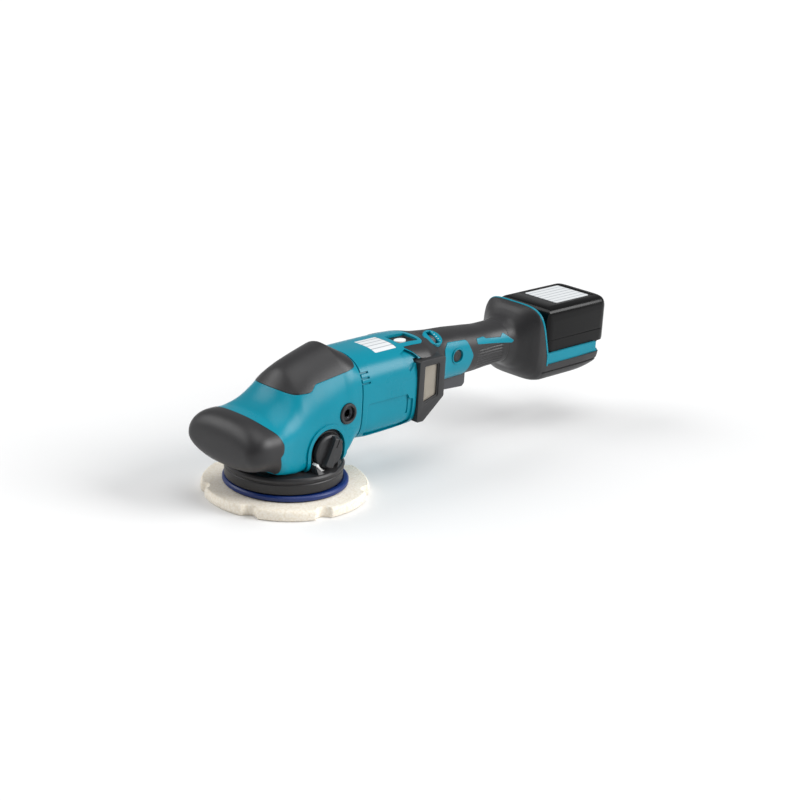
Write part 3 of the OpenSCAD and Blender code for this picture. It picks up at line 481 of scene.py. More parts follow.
def loft(name: str, sections: Sequence[Station], inset: float = 0.0, count: int = 120,
         relief: Optional[Callable[[np.ndarray, float], np.ndarray]] = None) -> bpy.types.Object:
    """Skins a closed solid over cross-sections.

    Args:
        name: The object's name.
        sections: Cross-sections in order of X.
        inset: Distance that the skin is drawn in, or out if negative.
        count: Points round each section, a multiple of four.
        relief: Gives the outward lift of a section's points.

    Returns:
        The solid.
    """
    quarter = count // 4
    fine = np.linspace(0, math.pi / 2, 160)
    verts: list[np.ndarray] = []
    for s in sections:
        half, up, down = s.half - inset, s.top - inset - s.wide, s.wide - s.low - inset
        ring: list[np.ndarray] = []
        for height, power, sx, sz in ((up, s.above, 1, 1), (up, s.above, -1, 1), (down, s.below, -1, -1),
                                      (down, s.below, 1, -1)):
            y = half * np.cos(fine) ** (2 / power)
            z = height * np.sin(fine) ** (2 / power)
            length = np.concatenate([[0], np.cumsum(np.hypot(np.diff(y), np.diff(z)))])
            at = np.linspace(0, length[-1], quarter + 1)
            y, z = np.interp(at, length, y), np.interp(at, length, z)
            points = np.stack([sx * y, s.wide + sz * z], 1)
            ring.append(points[:-1] if sx * sz > 0 else points[::-1][:-1])
        flat = np.concatenate(ring)
        if relief is not None:
            out = flat - np.array([0, s.wide])
            out /= np.maximum(np.linalg.norm(out, axis=1), 1e-6)[:, None]
            flat = flat + out * relief(flat, s.x)[:, None]
        verts.append(np.concatenate([np.full((count, 1), s.x), flat], 1))
    rows = len(verts)
    faces = [(k * count + i, (k + 1) * count + i, (k + 1) * count + (i + 1) % count,
              k * count + (i + 1) % count)
             for k in range(rows - 1) for i in range(count)]
    faces += [tuple(range(count)), tuple(range((rows - 1) * count, rows * count))]
    return make(name, np.concatenate(verts), faces)


def between(sections: Sequence[Station], xs: Sequence[float]) -> list[Station]:
    """Reads smooth cross-sections at given places.

    Args:
        sections: Known cross-sections, in order of X.
        xs: Places to read.

    Returns:
        One cross-section for each place.
    """
    table = np.array(sections, float)
    at = np.array(xs, float)
    columns = [monotone(table[:, 0], table[:, k], at) for k in range(1, 7)]
    return [Station(float(x), *(float(c[i]) for c in columns)) for i, x in enumerate(at)]


def prism(outline: Sequence[PointXZ], y0: float, y1: float, axis: str = "y") -> bpy.types.Object:
    """Pushes a flat outline into a solid.

    Args:
        outline: Points in X and Z, or X and Y for a push along Z, or Y and Z along X.
        y0: Start of the push.
        y1: End of the push.
        axis: Direction of the push.

    Returns:
        The solid.
    """
    order = {"y": lambda a, b, c: (a, c, b), "z": lambda a, b, c: (a, b, c), "x": lambda a, b,
             c: (c, a, b)}[axis]
    n = len(outline)
    verts = [order(a, b, c) for c in (y0, y1) for a, b in outline]
    faces = [(i, (i + 1) % n, n + (i + 1) % n, n + i) for i in range(n)]
    return make("tool", verts, faces + [tuple(range(n)), tuple(range(n, 2 * n))])


def turned(name: str, profile: Sequence[tuple[float, float]], centre: tuple[float, float, float],
           axis: str = "z",
           steps: int = 120, radius: Optional[Callable[[float, float, float],
           float]] = None) -> bpy.types.Object:
    """Turns a closed profile round an axis.

    Args:
        name: The object's name.
        profile: Radius and height pairs of a closed profile; radius 0 is allowed.
        centre: Point on the axis that heights count from.
        axis: z, x, or y for heights along -Y.
        steps: Points round the axis.
        radius: Changes a radius from its angle, radius and height.

    Returns:
        The solid.
    """
    rows = len(profile)
    verts = []
    for i in range(steps):
        a = 2 * math.pi * i / steps
        for r, h in profile:
            q = r if radius is None else radius(a, r, h)
            u, v = q * math.cos(a), q * math.sin(a)
            place = {"z": (u, v, h), "x": (h, u, v), "y": (u, -h, v)}[axis]
            verts.append(tuple(c + p for c, p in zip(centre, place)))
    faces = [(i * rows + k, ((i + 1) % steps) * rows + k, ((i + 1) % steps) * rows + (k + 1) % rows,
              i * rows + (k + 1) % rows)
             for i in range(steps) for k in range(rows)]
    return make(name, verts, faces)


def box(x: tuple[float, float], y: tuple[float, float], z: tuple[float, float],
        name: str = "tool") -> bpy.types.Object:
    """Square block between limits, to be shaped further."""
    verts = [(a, b, c) for a in x for b in y for c in z]
    return make(name, verts, [(0, 1, 3, 2), (4, 5, 7, 6), (0, 1, 5, 4), (2, 3, 7, 6), (0, 2, 6, 4),
                              (1, 3, 7, 5)])


def soften(piece: bpy.types.Object, width: float, segments: int = 3,
           angle: float = 32.0) -> bpy.types.Object:
    """Rounds a piece's sharp edges.

    Args:
        piece: The piece.
        width: Width of the rounding in millimetres.
        segments: Facets across it.
        angle: Edges sharper than this many degrees are rounded.

    Returns:
        The piece, as plain mesh.
    """
    edge = piece.modifiers.new("edge", "BEVEL")
    edge.width, edge.segments = width * MM, segments
    edge.limit_method, edge.angle_limit = "ANGLE", math.radians(angle)
    edge.use_clamp_overlap = True
    edge.miter_outer = "MITER_ARC"
    return bake(piece)


def smooth(piece: bpy.types.Object, angle: float = 34.0) -> bpy.types.Object:
    """Shades a piece smooth, apart from edges sharper than an angle."""
    for face in piece.data.polygons:
        face.use_smooth = True
    piece.data.set_sharp_from_angle(angle=math.radians(angle))
    return piece


def clean_rim(piece: bpy.types.Object, reach: float) -> bpy.types.Object:
    """Merges the tiny edges that a cut leaves, so that a rim can be rounded."""
    bm = bmesh.new()
    bm.from_mesh(piece.data)
    bmesh.ops.dissolve_degenerate(bm, dist=reach * MM, edges=bm.edges)
    bmesh.ops.recalc_face_normals(bm, faces=bm.faces)
    bm.to_mesh(piece.data)
    bm.free()
    return piece


def settle(piece: bpy.types.Object, name: str, body: Body, finish: Finish, *nodes: str) -> bpy.types.Object:
    """Names, paints and mounts a finished piece.

    Args:
        piece: The piece.
        name: Its name.
        body: The moving group it rides on.
        finish: Its surface.
        nodes: Frame nodes that it stands for.

    Returns:
        The piece.
    """
    piece.name = name
    piece.data.name = name
    piece.data.materials.clear()
    piece.data.materials.append(finish.build())
    for face in piece.data.polygons:
        face.material_index = 0
    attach(piece, body.value)
    if nodes:
        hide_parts(*nodes)
    log.info("%s: %d faces on %s", name, len(piece.data.polygons), body.value)
    return piece


# ---- repeated details ----------------------------------------------------------------


@dataclass
class Repeat:
    """A small solid repeated at listed places by Geometry Nodes.

    The places are the points of a carrier mesh, and each copy is turned to its point's
    normal. The tree ends in real mesh with its material set.
    """

    name: str
    places: Sequence[tuple[float, float, float]]
    normals: Sequence[tuple[float, float, float]]
    unit: bpy.types.Object
    finish: Finish
    size_spread: float = 0.0
    seed: int = 7

    def tree(self) -> bpy.types.NodeTree:
        """Builds the node tree with named inputs."""
        group = bpy.data.node_groups.new(f"{self.name} repeat", "GeometryNodeTree")
        face = group.interface
        face.new_socket("Geometry", in_out="INPUT", socket_type="NodeSocketGeometry")
        face.new_socket("Unit", in_out="INPUT", socket_type="NodeSocketObject")
        face.new_socket("Size spread", in_out="INPUT", socket_type="NodeSocketFloat")
        face.new_socket("Seed", in_out="INPUT", socket_type="NodeSocketInt")
        face.new_socket("Geometry", in_out="OUTPUT", socket_type="NodeSocketGeometry")
        start = add_node(group, "NodeGroupInput")
        unit = add_node(group, "GeometryNodeObjectInfo", {"transform_space": "ORIGINAL"},
                        {"Object": start.outputs["Unit"]})
        facing = add_node(group, "GeometryNodeInputNamedAttribute", {"data_type": "FLOAT_VECTOR",
            "Name": "facing"})
        turn = add_node(group, "FunctionNodeAlignRotationToVector", {"axis": "Z"},
                        {"Vector": facing.outputs["Attribute"]})
        low = add_node(group, "ShaderNodeMath", {"operation": "SUBTRACT", 0: 1.0},
                       {1: start.outputs["Size spread"]})
        high = add_node(group, "ShaderNodeMath", {"operation": "ADD", 0: 1.0},
                        {1: start.outputs["Size spread"]})
        size = add_node(group, "FunctionNodeRandomValue", {"data_type": "FLOAT"})
        for key, socket in (("Min", low.outputs[0]), ("Max", high.outputs[0]),
                            ("Seed", start.outputs["Seed"])):
            target = [s for s in size.inputs if s.name == key and s.enabled][0]
            group.links.new(socket, target)
        value = [s for s in size.outputs if s.enabled][0]
        copies = add_node(group, "GeometryNodeInstanceOnPoints", links={"Points": start.outputs["Geometry"],
            "Instance": unit.outputs["Geometry"], "Rotation": turn.outputs["Rotation"], "Scale": value})
        real = add_node(group, "GeometryNodeRealizeInstances",
                        links={"Geometry": copies.outputs["Instances"]})
        painted = add_node(group, "GeometryNodeSetMaterial", {"Material": self.finish.build()},
                           {"Geometry": real.outputs["Geometry"]})
        end = add_node(group, "NodeGroupOutput")
        group.links.new(painted.outputs["Geometry"], end.inputs["Geometry"])
        return group

    def build(self) -> bpy.types.Object:
        """Makes the copies and returns them as one plain mesh."""
        mesh = bpy.data.meshes.new(self.name)
        mesh.from_pydata([tuple(c * MM for c in p) for p in self.places], [], [])
        facing = mesh.attributes.new("facing", "FLOAT_VECTOR", "POINT")
        facing.data.foreach_set("vector", [float(c) for n in self.normals for c in n])
        piece = bpy.data.objects.new(self.name, mesh)
        bpy.context.collection.objects.link(piece)
        change = piece.modifiers.new("repeat", "NODES")
        change.node_group = self.tree()
        inputs = {s.name: s.identifier for s in change.node_group.interface.items_tree
                  if s.in_out == "INPUT"}
        change[inputs["Unit"]] = self.unit
        change[inputs["Size spread"]] = self.size_spread
        change[inputs["Seed"]] = self.seed
        bake(piece)
        bpy.data.objects.remove(self.unit)
        return piece


# ---- sub-assemblies ------------------------------------------------------------------


@dataclass
class PolishingPad:
    """Microfibre pad with a hook disc and the blue backing plate above it."""

    radius: float = 83.5
    thickness: float = 11.0
    orbit: float = 2.75
    notches: int = 7
    notch_radius: float = 9.0
    notch_depth: float = 6.5
    notch_turn: float = -2.0
    lump: float = 0.2
    edge: float = 2.8
    plate_radius: float = 62.5
    plate_low: float = 12.2
    plate_high: float = 17.2
    holes: int = 8
    hole_inset: float = 10.0
    hole_radius: float = 3.5
    tufts: int = 5200
    tuft_radius: float = 0.7
    tuft_height: float = 0.22

    def rim(self, angle: float, r: float, height: float) -> float:
        """Pulls the pad's edge in at its cooling notches."""
        step = 2 * math.pi / self.notches
        centre = self.radius + self.notch_radius - self.notch_depth
        away = (angle - math.radians(self.notch_turn) + step / 2) % step - step / 2
        across = centre * math.sin(away)
        limit = self.radius
        if abs(across) < self.notch_radius and abs(away) < 0.3:
            limit = centre * math.cos(away) - math.sqrt(self.notch_radius**2 - across**2)
        start = self.radius - 14
        if r <= start or limit >= self.radius:
            return r
        return start + (r - start) * (min(limit, self.radius) - start) / (self.radius - start)

    def fall(self, lean: float) -> float:
        """Height of the pad's rounded edge where it leans out by an angle."""
        half = self.thickness / 2
        return half + half * math.copysign(abs(math.cos(lean)) ** 0.85, math.cos(lean))

    def pad(self) -> bpy.types.Object:
        """Shapes the pad as a soft disc with a rounded edge."""
        edge, t = self.edge, self.thickness
        r = self.radius
        top = [(s, t) for s in np.linspace(0.01, r - edge, 26)]
        side = [(r - edge + edge * math.sin(a), self.fall(a)) for a in np.linspace(0, math.pi, 22)[1:-1]]
        bottom = [(s, 0.0) for s in np.linspace(r - edge, 0.01, 26)]
        piece = turned("pad", top + side + bottom, (self.orbit, 0, 0), steps=420, radius=self.rim)
        for vertex in piece.data.vertices:
            place = vertex.co / MM
            if place.z < 0.6:
                continue
            soft = noise.noise(Vector(place) / 5.5) * 0.6 + noise.noise(Vector(place) / 1.9) * 0.4
            out = Vector((place.x - self.orbit, place.y, 0))
            reach = max(0.0, min(1.0, (out.length - (r - edge - 3)) / (edge + 3)))
            lift = self.lump * (soft - 0.55)
            out.normalize()
            vertex.co += (out * reach + Vector((0, 0, 1 - reach))) * lift * MM
        return piece

    def pile(self) -> bpy.types.Object:
        """Scatters low tufts over the pad's visible face and edge."""
        rng = np.random.default_rng(11)
        places, normals = [], []
        inner, edge = self.plate_radius - 4, self.edge
        for i in range(self.tufts):
            share = (i + 0.5) / self.tufts
            angle = rng.uniform(0, 2 * math.pi)
            if share < 0.72:
                r = math.sqrt(inner**2 + (self.radius - edge - inner) * (self.radius - edge + inner)
                              * share / 0.72)
                lean, z = 0.0, self.thickness - 0.25
            else:
                lean = (share - 0.72) / 0.28 * 2.4
                r = self.radius - edge + edge * math.sin(lean)
                z = self.fall(lean)
                if z < 1.2:
                    continue
            q = self.rim(angle % (2 * math.pi), r, z) - 0.3
            places.append((self.orbit + q * math.cos(angle), q * math.sin(angle), z))
            normals.append((math.cos(angle) * math.sin(lean) + rng.normal(0, 0.1),
                            math.sin(angle) * math.sin(lean) + rng.normal(0, 0.1),
                            max(0.02, math.cos(lean))))
        w, h = self.tuft_radius, self.tuft_height
        bead = turned("tuft", [(0.001, -0.3), (w, -0.3), (w * 0.8, h * 0.5), (0.001, h)], (0, 0, 0),
                      steps=5)
        return Repeat("pile", places, normals, bead, MICROFIBRE, 0.3).build()

    def build(self) -> None:
        """Makes the pad, its pile and the backing plate."""
        pad = smooth(self.pad(), 60)
        settle(pad, "polishing_pad_fleece", Body.PAD, MICROFIBRE, "polishing_pad")
        settle(smooth(self.pile(), 70), "polishing_pad_pile", Body.PAD, MICROFIBRE)
        r, a, b = self.plate_radius, self.plate_low, self.plate_high
        plate = turned("plate", fillet([(4.1, a), (r, a), (r, b - 1.5), (r - 1.5, b), (r - 5, b),
                                        (r - 6, b - 1.4), (4.1, b - 1.4)],
                                       [0.2, 0.8, 0.8, 0.8, 0.5, 0.5, 0.2], 5), (self.orbit, 0, 0),
                                       steps=160)
        for i in range(self.holes):
            a1 = math.radians(360 / self.holes * (i + 0.5))
            hole = circle(self.orbit + (r - self.hole_inset) * math.cos(a1),
                          (r - self.hole_inset) * math.sin(a1), self.hole_radius, 32)
            combine(plate, prism(hole, a - 1, b + 1, "z"), Cut.AWAY)
        settle(smooth(plate), "backing_plate_moulding", Body.PAD, URETHANE, "backing_plate")


@dataclass
class Skirt:
    """Rubber skirt round the drive, with the shoulder under the mode knob."""

    radius: float = 59.0
    low: float = 18.2
    high: float = 35.2
    bore: float = 37.3
    knob_x: float = 15.5
    knob_z: float = 52.0
    knob_radius: float = 17.5
    shoulder: float = 22.0

    def sector(self, start: float, end: float) -> list[PointXZ]:
        """Wedge-shaped outline about the knob between two angles in degrees."""
        reach = 40.0
        turns = [math.radians(a) for a in np.linspace(start, end, 7)]
        return [(self.knob_x, self.knob_z)] + [(self.knob_x + reach * math.cos(a),
                                                self.knob_z + reach * math.sin(a)) for a in turns]

    def build(self) -> None:
        """Makes the skirt with its rounded bead and shoulder, and the white crescent of painted highlight
        under the knob.
        """
        r, a, b = self.radius, self.low, self.high
        profile = fillet([(self.bore, b - 4), (r - 3.5, b - 4), (r - 3.5, a), (r - 0.5, a),
                          (r - 0.1, b - 7.5), (r - 0.8, b - 6.6),
                          (r + 0.6, b - 5), (r + 1, b - 2.5), (r - 0.4, b), (self.bore, b)],
                         [0.3, 1, 0.6, 1.2, 0.6, 0.6, 1.2, 1.2, 1.6, 0.3], 6)
        skirt = turned("skirt", profile, (0, 0, 0), steps=180)
        wedge = turned("wedge", [(0.01, b - 1), (r - 1.5, b - 1), (r - 4.5, b + 4.5), (r - 6.5, b + 6.2),
                                 (0.01, b + 6.2)], (0, 0, 0), steps=180)
        combine(wedge, prism(fillet([(self.knob_x - self.shoulder + 0.5, -r - 5),
                                     (self.knob_x + self.shoulder - 0.5, -r - 5),
                                     (self.knob_x + self.shoulder - 0.5, -42.6),
                                     (self.knob_x - self.shoulder + 0.5, -42.6)], 1.5), 30, 60, "z"),
                                     Cut.KEEP)
        hollow = combine(prism(circle(self.knob_x, self.knob_z, self.knob_radius + 4.3, 90), -70, -41.6),
                         prism(self.sector(203, 258), -80, -30), Cut.KEEP)
        combine(wedge, hollow, Cut.AWAY)
        combine(skirt, wedge, Cut.JOIN)
        combine(skirt, prism(circle(self.knob_x, self.knob_z, self.knob_radius + 0.7), -r - 12, -41.6),
                Cut.AWAY)
        soften(clean_rim(skirt, 0.1), 0.5, 2, 38)
        settle(smooth(skirt), "skirt_moulding", Body.HOUSING, ELASTOMER, "skirt")
        # Painted highlight: a flat white crescent at the knob's lower left stands in for a bright glint of
        # light.
        crescent = prism(circle(self.knob_x, self.knob_z, self.knob_radius + 4, 90), -50.5, -43.6)
        combine(crescent, prism(circle(self.knob_x, self.knob_z, self.knob_radius + 1, 90), -60, -40),
                Cut.AWAY)
        combine(crescent, prism(self.sector(207, 254), -60, -40), Cut.KEEP)
        settle(smooth(soften(crescent, 0.3, 2)), "mode_index_mark", Body.HOUSING, WHITE_PRINT_AND_HIGHLIGHT)


@dataclass
class Head:
    """Head covers: teal shell with black nose and crown, side handle inserts and knob arch."""

    nose_centre: float = -63.0
    nose_reach: float = 23.0
    nose_half: float = 53.0
    nose_end: float = 16.0
    nose_z: float = 66.5
    nose_h: float = 24.5
    nose_lift: float = 3.0
    seam_x: float = 62.0
    peak_x: float = 41.0
    wall: float = 3.0
    gap: float = 0.22
    knob_x: float = 15.5
    knob_z: float = 52.0
    arch_radius: float = 22.5
    insert_x: float = 42.0
    insert_z: float = 84.5
    insert_radius: float = 7.5
    body: tuple[Station, ...] = (
        Station(-63, 53, 66.5, 94, 42, 2.6, 2.4), Station(-51, 52.5, 67, 95, 40, 2.4, 3), Station(-41, 50,
        69, 100, 36.2, 2.1, 5),
        Station(-31, 47.5, 71, 108, 35.7, 1.9, 8), Station(-21, 46, 72, 119, 35.6, 1.8, 12),
        Station(-11, 45, 72, 129, 35.6, 1.85, 12),
        Station(0, 44.5, 74, 134.4, 35.6, 1.9, 12), Station(16, 44.5, 78, 139.6, 35.6, 1.95, 12),
        Station(30, 44.2, 82, 143.4, 35.6, 2, 12),
        Station(41, 43.9, 85, 146.2, 36.6, 2.05, 10), Station(49, 43.5, 87, 141.8, 40.6, 2.4, 7),
        Station(56, 42.9, 89, 138, 46, 2.6, 5),
        Station(62, 42.5, 91, 134.5, 47.5, 2.7, 4))
    nose_line: tuple[PointXZ, ...] = ((-91, 110), (-68, 110), (-60.5, 92), (-51.5, 83.5), (-46.5, 73.5),
                                      (-47.5, 65.5), (-52, 62.5),
                                      (-48, 50), (-45, 40), (-45, 22), (-91, 22))
    nose_round: tuple[float, ...] = (0, 2, 14, 9, 8, 5, 3, 8, 4, 0, 0)
    crown_line: tuple[PointXZ, ...] = ((-42, 165), (-42, 121), (-34, 118), (-17, 111), (1, 111.5),
                                       (8, 118), (58, 126.5), (61, 130), (61, 165))
    crown_round: tuple[float, ...] = (0, 2, 8, 20, 9, 6, 3, 2, 0)

    def sections(self) -> list[Station]:
        """Cross-sections from the nose's tip to the seam, closely spaced."""
        out = []
        for a in np.linspace(0.07, 1, 16)[:-1] * math.pi / 2:
            dx = -self.nose_reach * math.cos(a) ** (2 / 2.4)
            q = math.sin(a) ** (2 / 2.4)
            out.append(Station(self.nose_centre + dx, self.nose_half - self.nose_end * (1 - q), self.nose_z,
                               self.nose_z + (self.nose_h + self.nose_lift) * q,
                               self.nose_z - self.nose_h * q, 2.6, 2.4))
        peak = [s.x for s in self.body].index(self.peak_x)
        rise = between(self.body[: peak + 1], np.linspace(self.nose_centre, self.peak_x, 78))
        return out + rise + between(self.body[peak:], np.linspace(self.peak_x, self.seam_x, 20))[1:]

    def shell(self, proud: float = 0.0) -> bpy.types.Object:
        """Hollow skin of the head, standing proud by a small amount."""
        outer = self.sections()
        skin = loft("head", outer, -proud, 132)
        hollow = [s for s in outer if s.x > self.nose_centre - self.nose_reach + self.wall + 1]
        last = hollow[-1]
        combine(skin, loft("hollow", hollow[:-1] + [last._replace(x=last.x + 1)], self.wall, 132), Cut.AWAY)
        combine(skin, turned("well", [(0.01, 0), (46, 0), (46, 47), (0.01, 47)], (0, 0, 0), steps=120),
                Cut.AWAY)
        return skin

    def arch(self, radius: float) -> list[PointXZ]:
        """Outline of the knob's arch."""
        x, z, low = self.knob_x, self.knob_z, 28.0
        round_top = [(x + radius * math.cos(a), z + radius * math.sin(a)) for a in np.linspace(0, math.pi,
            48)]
        return round_top + [(x - radius, low), (x + radius, low)]

    def build(self) -> None:
        """Makes the covers, grips, inserts and their rings."""
        nose = fillet(self.nose_line, self.nose_round)
        crown = fillet(self.crown_line, self.crown_round)
        cover = self.shell()
        bead = combine(loft("bead", self.sections(), -1.6, 132), prism(grown(self.arch(self.arch_radius),
            4.2), -70, -20), Cut.KEEP)
        combine(bead, loft("hollow", self.sections()[16:], 1.5, 132), Cut.AWAY)
        combine(bead, prism(self.arch(self.arch_radius - 3), -80, -10), Cut.AWAY)
        combine(bead, box((-100, 100), (-80, 0), (10, 35.8)), Cut.AWAY)
        combine(cover, bead, Cut.JOIN)
        combine(cover, prism(grown(nose, self.gap), -80, 80), Cut.AWAY)
        combine(cover, prism(grown(crown, self.gap), -80, 80), Cut.AWAY)
        combine(cover, prism(self.arch(self.arch_radius), -80, -32.5), Cut.AWAY)
        combine(cover, prism(circle(self.insert_x, self.insert_z, self.insert_radius + 3.3), -70, 70),
                Cut.AWAY)
        soften(clean_rim(cover, 0.12), 0.7, 3, 34)
        settle(smooth(cover, 40), "head_cover_moulding", Body.HOUSING, TEAL_ABS, "head_cover")
        for name, line, node in (("nose_grip_rubber", nose, "nose_grip"), ("crown_grip_rubber", crown,
            "crown_grip")):
            grip = combine(self.shell(0.35), prism(grown(line, -self.gap), -80, 80), Cut.KEEP)
            if node == "nose_grip":
                combine(grip, prism([(-95, 30), (-95, 46.5), (-72, 46.5), (-60, 44.2), (-50, 42),
                                     (-41.5, 37.6), (-40, 30)], -60, 60), Cut.AWAY)
            soften(clean_rim(grip, 0.12), 0.7, 3, 34)
            settle(smooth(grip, 40), name, Body.HOUSING, ELASTOMER, node)
        for side, word in ((-1, "left"), (1, "right")):
            self.insert(side, word)

    def insert(self, side: int, word: str) -> None:
        """Makes one threaded insert with its ring.

        Args:
            side: -1 for the knob's side, 1 for the other.
            word: Name of that side.
        """
        r = self.insert_radius
        ring = turned("ring", fillet([(r + 0.02, 40.5), (r + 3, 40.5), (r + 3, 45), (r + 2.2, 45.9),
                                      (r + 0.6, 45.9), (r + 0.02, 45.2)], 0.35, 4),
                      (self.insert_x, 0, self.insert_z), "y", 96)
        if side > 0:
            self.mirror(ring)
        steel = turned("insert", fillet([(3.4, 34.2), (r - 0.05, 34.2), (r - 0.05, 43.6), (4.6, 43.6),
                                         (3.4, 42.4)], 0.25, 4),
                       (self.insert_x, 0, self.insert_z), "y", 96)
        if side > 0:
            self.mirror(steel)
        settle(smooth(ring), f"insert_ring_{word}", Body.HOUSING, NYLON, "insert_rings")
        settle(smooth(steel), f"side_insert_{word}", Body.HOUSING, BLACK_OXIDE, f"insert_{word}")

    @staticmethod
    def mirror(piece: bpy.types.Object) -> None:
        """Moves a piece to the other side and turns its faces back out."""
        for vertex in piece.data.vertices:
            vertex.co.y = -vertex.co.y
        tidy(piece)


@dataclass
class ModeKnob:
    """Turning knob that locks the forced rotation, with a raised finger bar."""

    x: float = 15.5
    z: float = 52.0
    radius: float = 17.5
    face: float = 48.0
    bar_half: float = 5.6
    bar_height: float = 7.0
    bar_turn: float = 25.0
    surround_half: float = 22.2

    def build(self) -> None:
        """Makes the knob and the panel behind it."""
        r, y = self.radius, self.face
        disc = turned("disc", fillet([(0.01, y - 4.5), (r, y - 4.5), (r, y), (r - 2.5, y + 1.2),
                                      (0.01, y + 1.2)], [0, 0.5, 1.6, 1, 0], 6),
                      (self.x, 0, self.z), "y", 144, radius=lambda a, q,
                      h: q - (0.35 * (0.5 + 0.5 * math.cos(36 * a)) if q > r - 1.2 and h < y - 0.5 else 0))
        bar = turned("bar", fillet([(0.01, y), (r - 1.2, y), (r - 1.2, y + self.bar_height - 2.5),
                                    (r - 3, y + self.bar_height), (0.01, y + self.bar_height)],
                                   [0, 0.3, 1.5, 1.5, 0], 6), (self.x, 0, self.z), "y", 120)
        turn = math.radians(self.bar_turn)
        h = self.bar_half
        waist = [(-h, -30), (-h * 0.86, 0), (-h, 30), (h, 30), (h * 0.86, 0), (h, -30)]
        placed = [(self.x + a * math.cos(turn) + b * math.sin(turn),
                   self.z - a * math.sin(turn) + b * math.cos(turn)) for a, b in waist]
        combine(bar, prism(fillet(placed, [0, 20, 0, 0, 20, 0], 8), -y - 20, -y + 5), Cut.KEEP)
        combine(disc, bar, Cut.JOIN)
        groove = prism([(self.x + a * math.cos(turn) + b * math.sin(turn),
                         self.z - a * math.sin(turn) + b * math.cos(turn))
                        for a, b in ((-0.7, 6), (0.7, 6), (0.7, 14.5), (-0.7, 14.5))],
                        -y - self.bar_height - 1, -y - self.bar_height + 0.7)
        combine(disc, groove, Cut.AWAY)
        combine(disc, prism(circle(self.x, self.z, 5.05), -y + 3.9, -40), Cut.AWAY)
        soften(clean_rim(disc, 0.08), 0.5, 3, 38)
        settle(smooth(disc), "mode_knob_moulding", Body.KNOB, NYLON, "mode_knob")
        half = self.surround_half
        arch = [(self.x + half * math.cos(a), self.z + half * math.sin(a)) for a in np.linspace(0, math.pi,
            40)]
        panel = prism(arch + [(self.x - half, 35.8), (self.x + half, 35.8)], -41.3, -39.3)
        combine(panel, prism(circle(self.x, self.z, 5.05), -60, -30), Cut.AWAY)
        lip = turned("lip", fillet([(self.radius + 0.9, 41.3), (self.radius + 2.6, 41.3),
                                    (self.radius + 2.2, 43.2), (self.radius + 1.1, 43.2)], 0.3, 4),
                                    (self.x, 0, self.z), "y", 96)
        combine(lip, box((-60, 90), (-60, 0), (36.5, 120)), Cut.KEEP)
        combine(panel, lip, Cut.JOIN)
        settle(smooth(soften(panel, 0.25, 2)), "knob_surround_panel", Body.HOUSING, NYLON, "knob_surround")


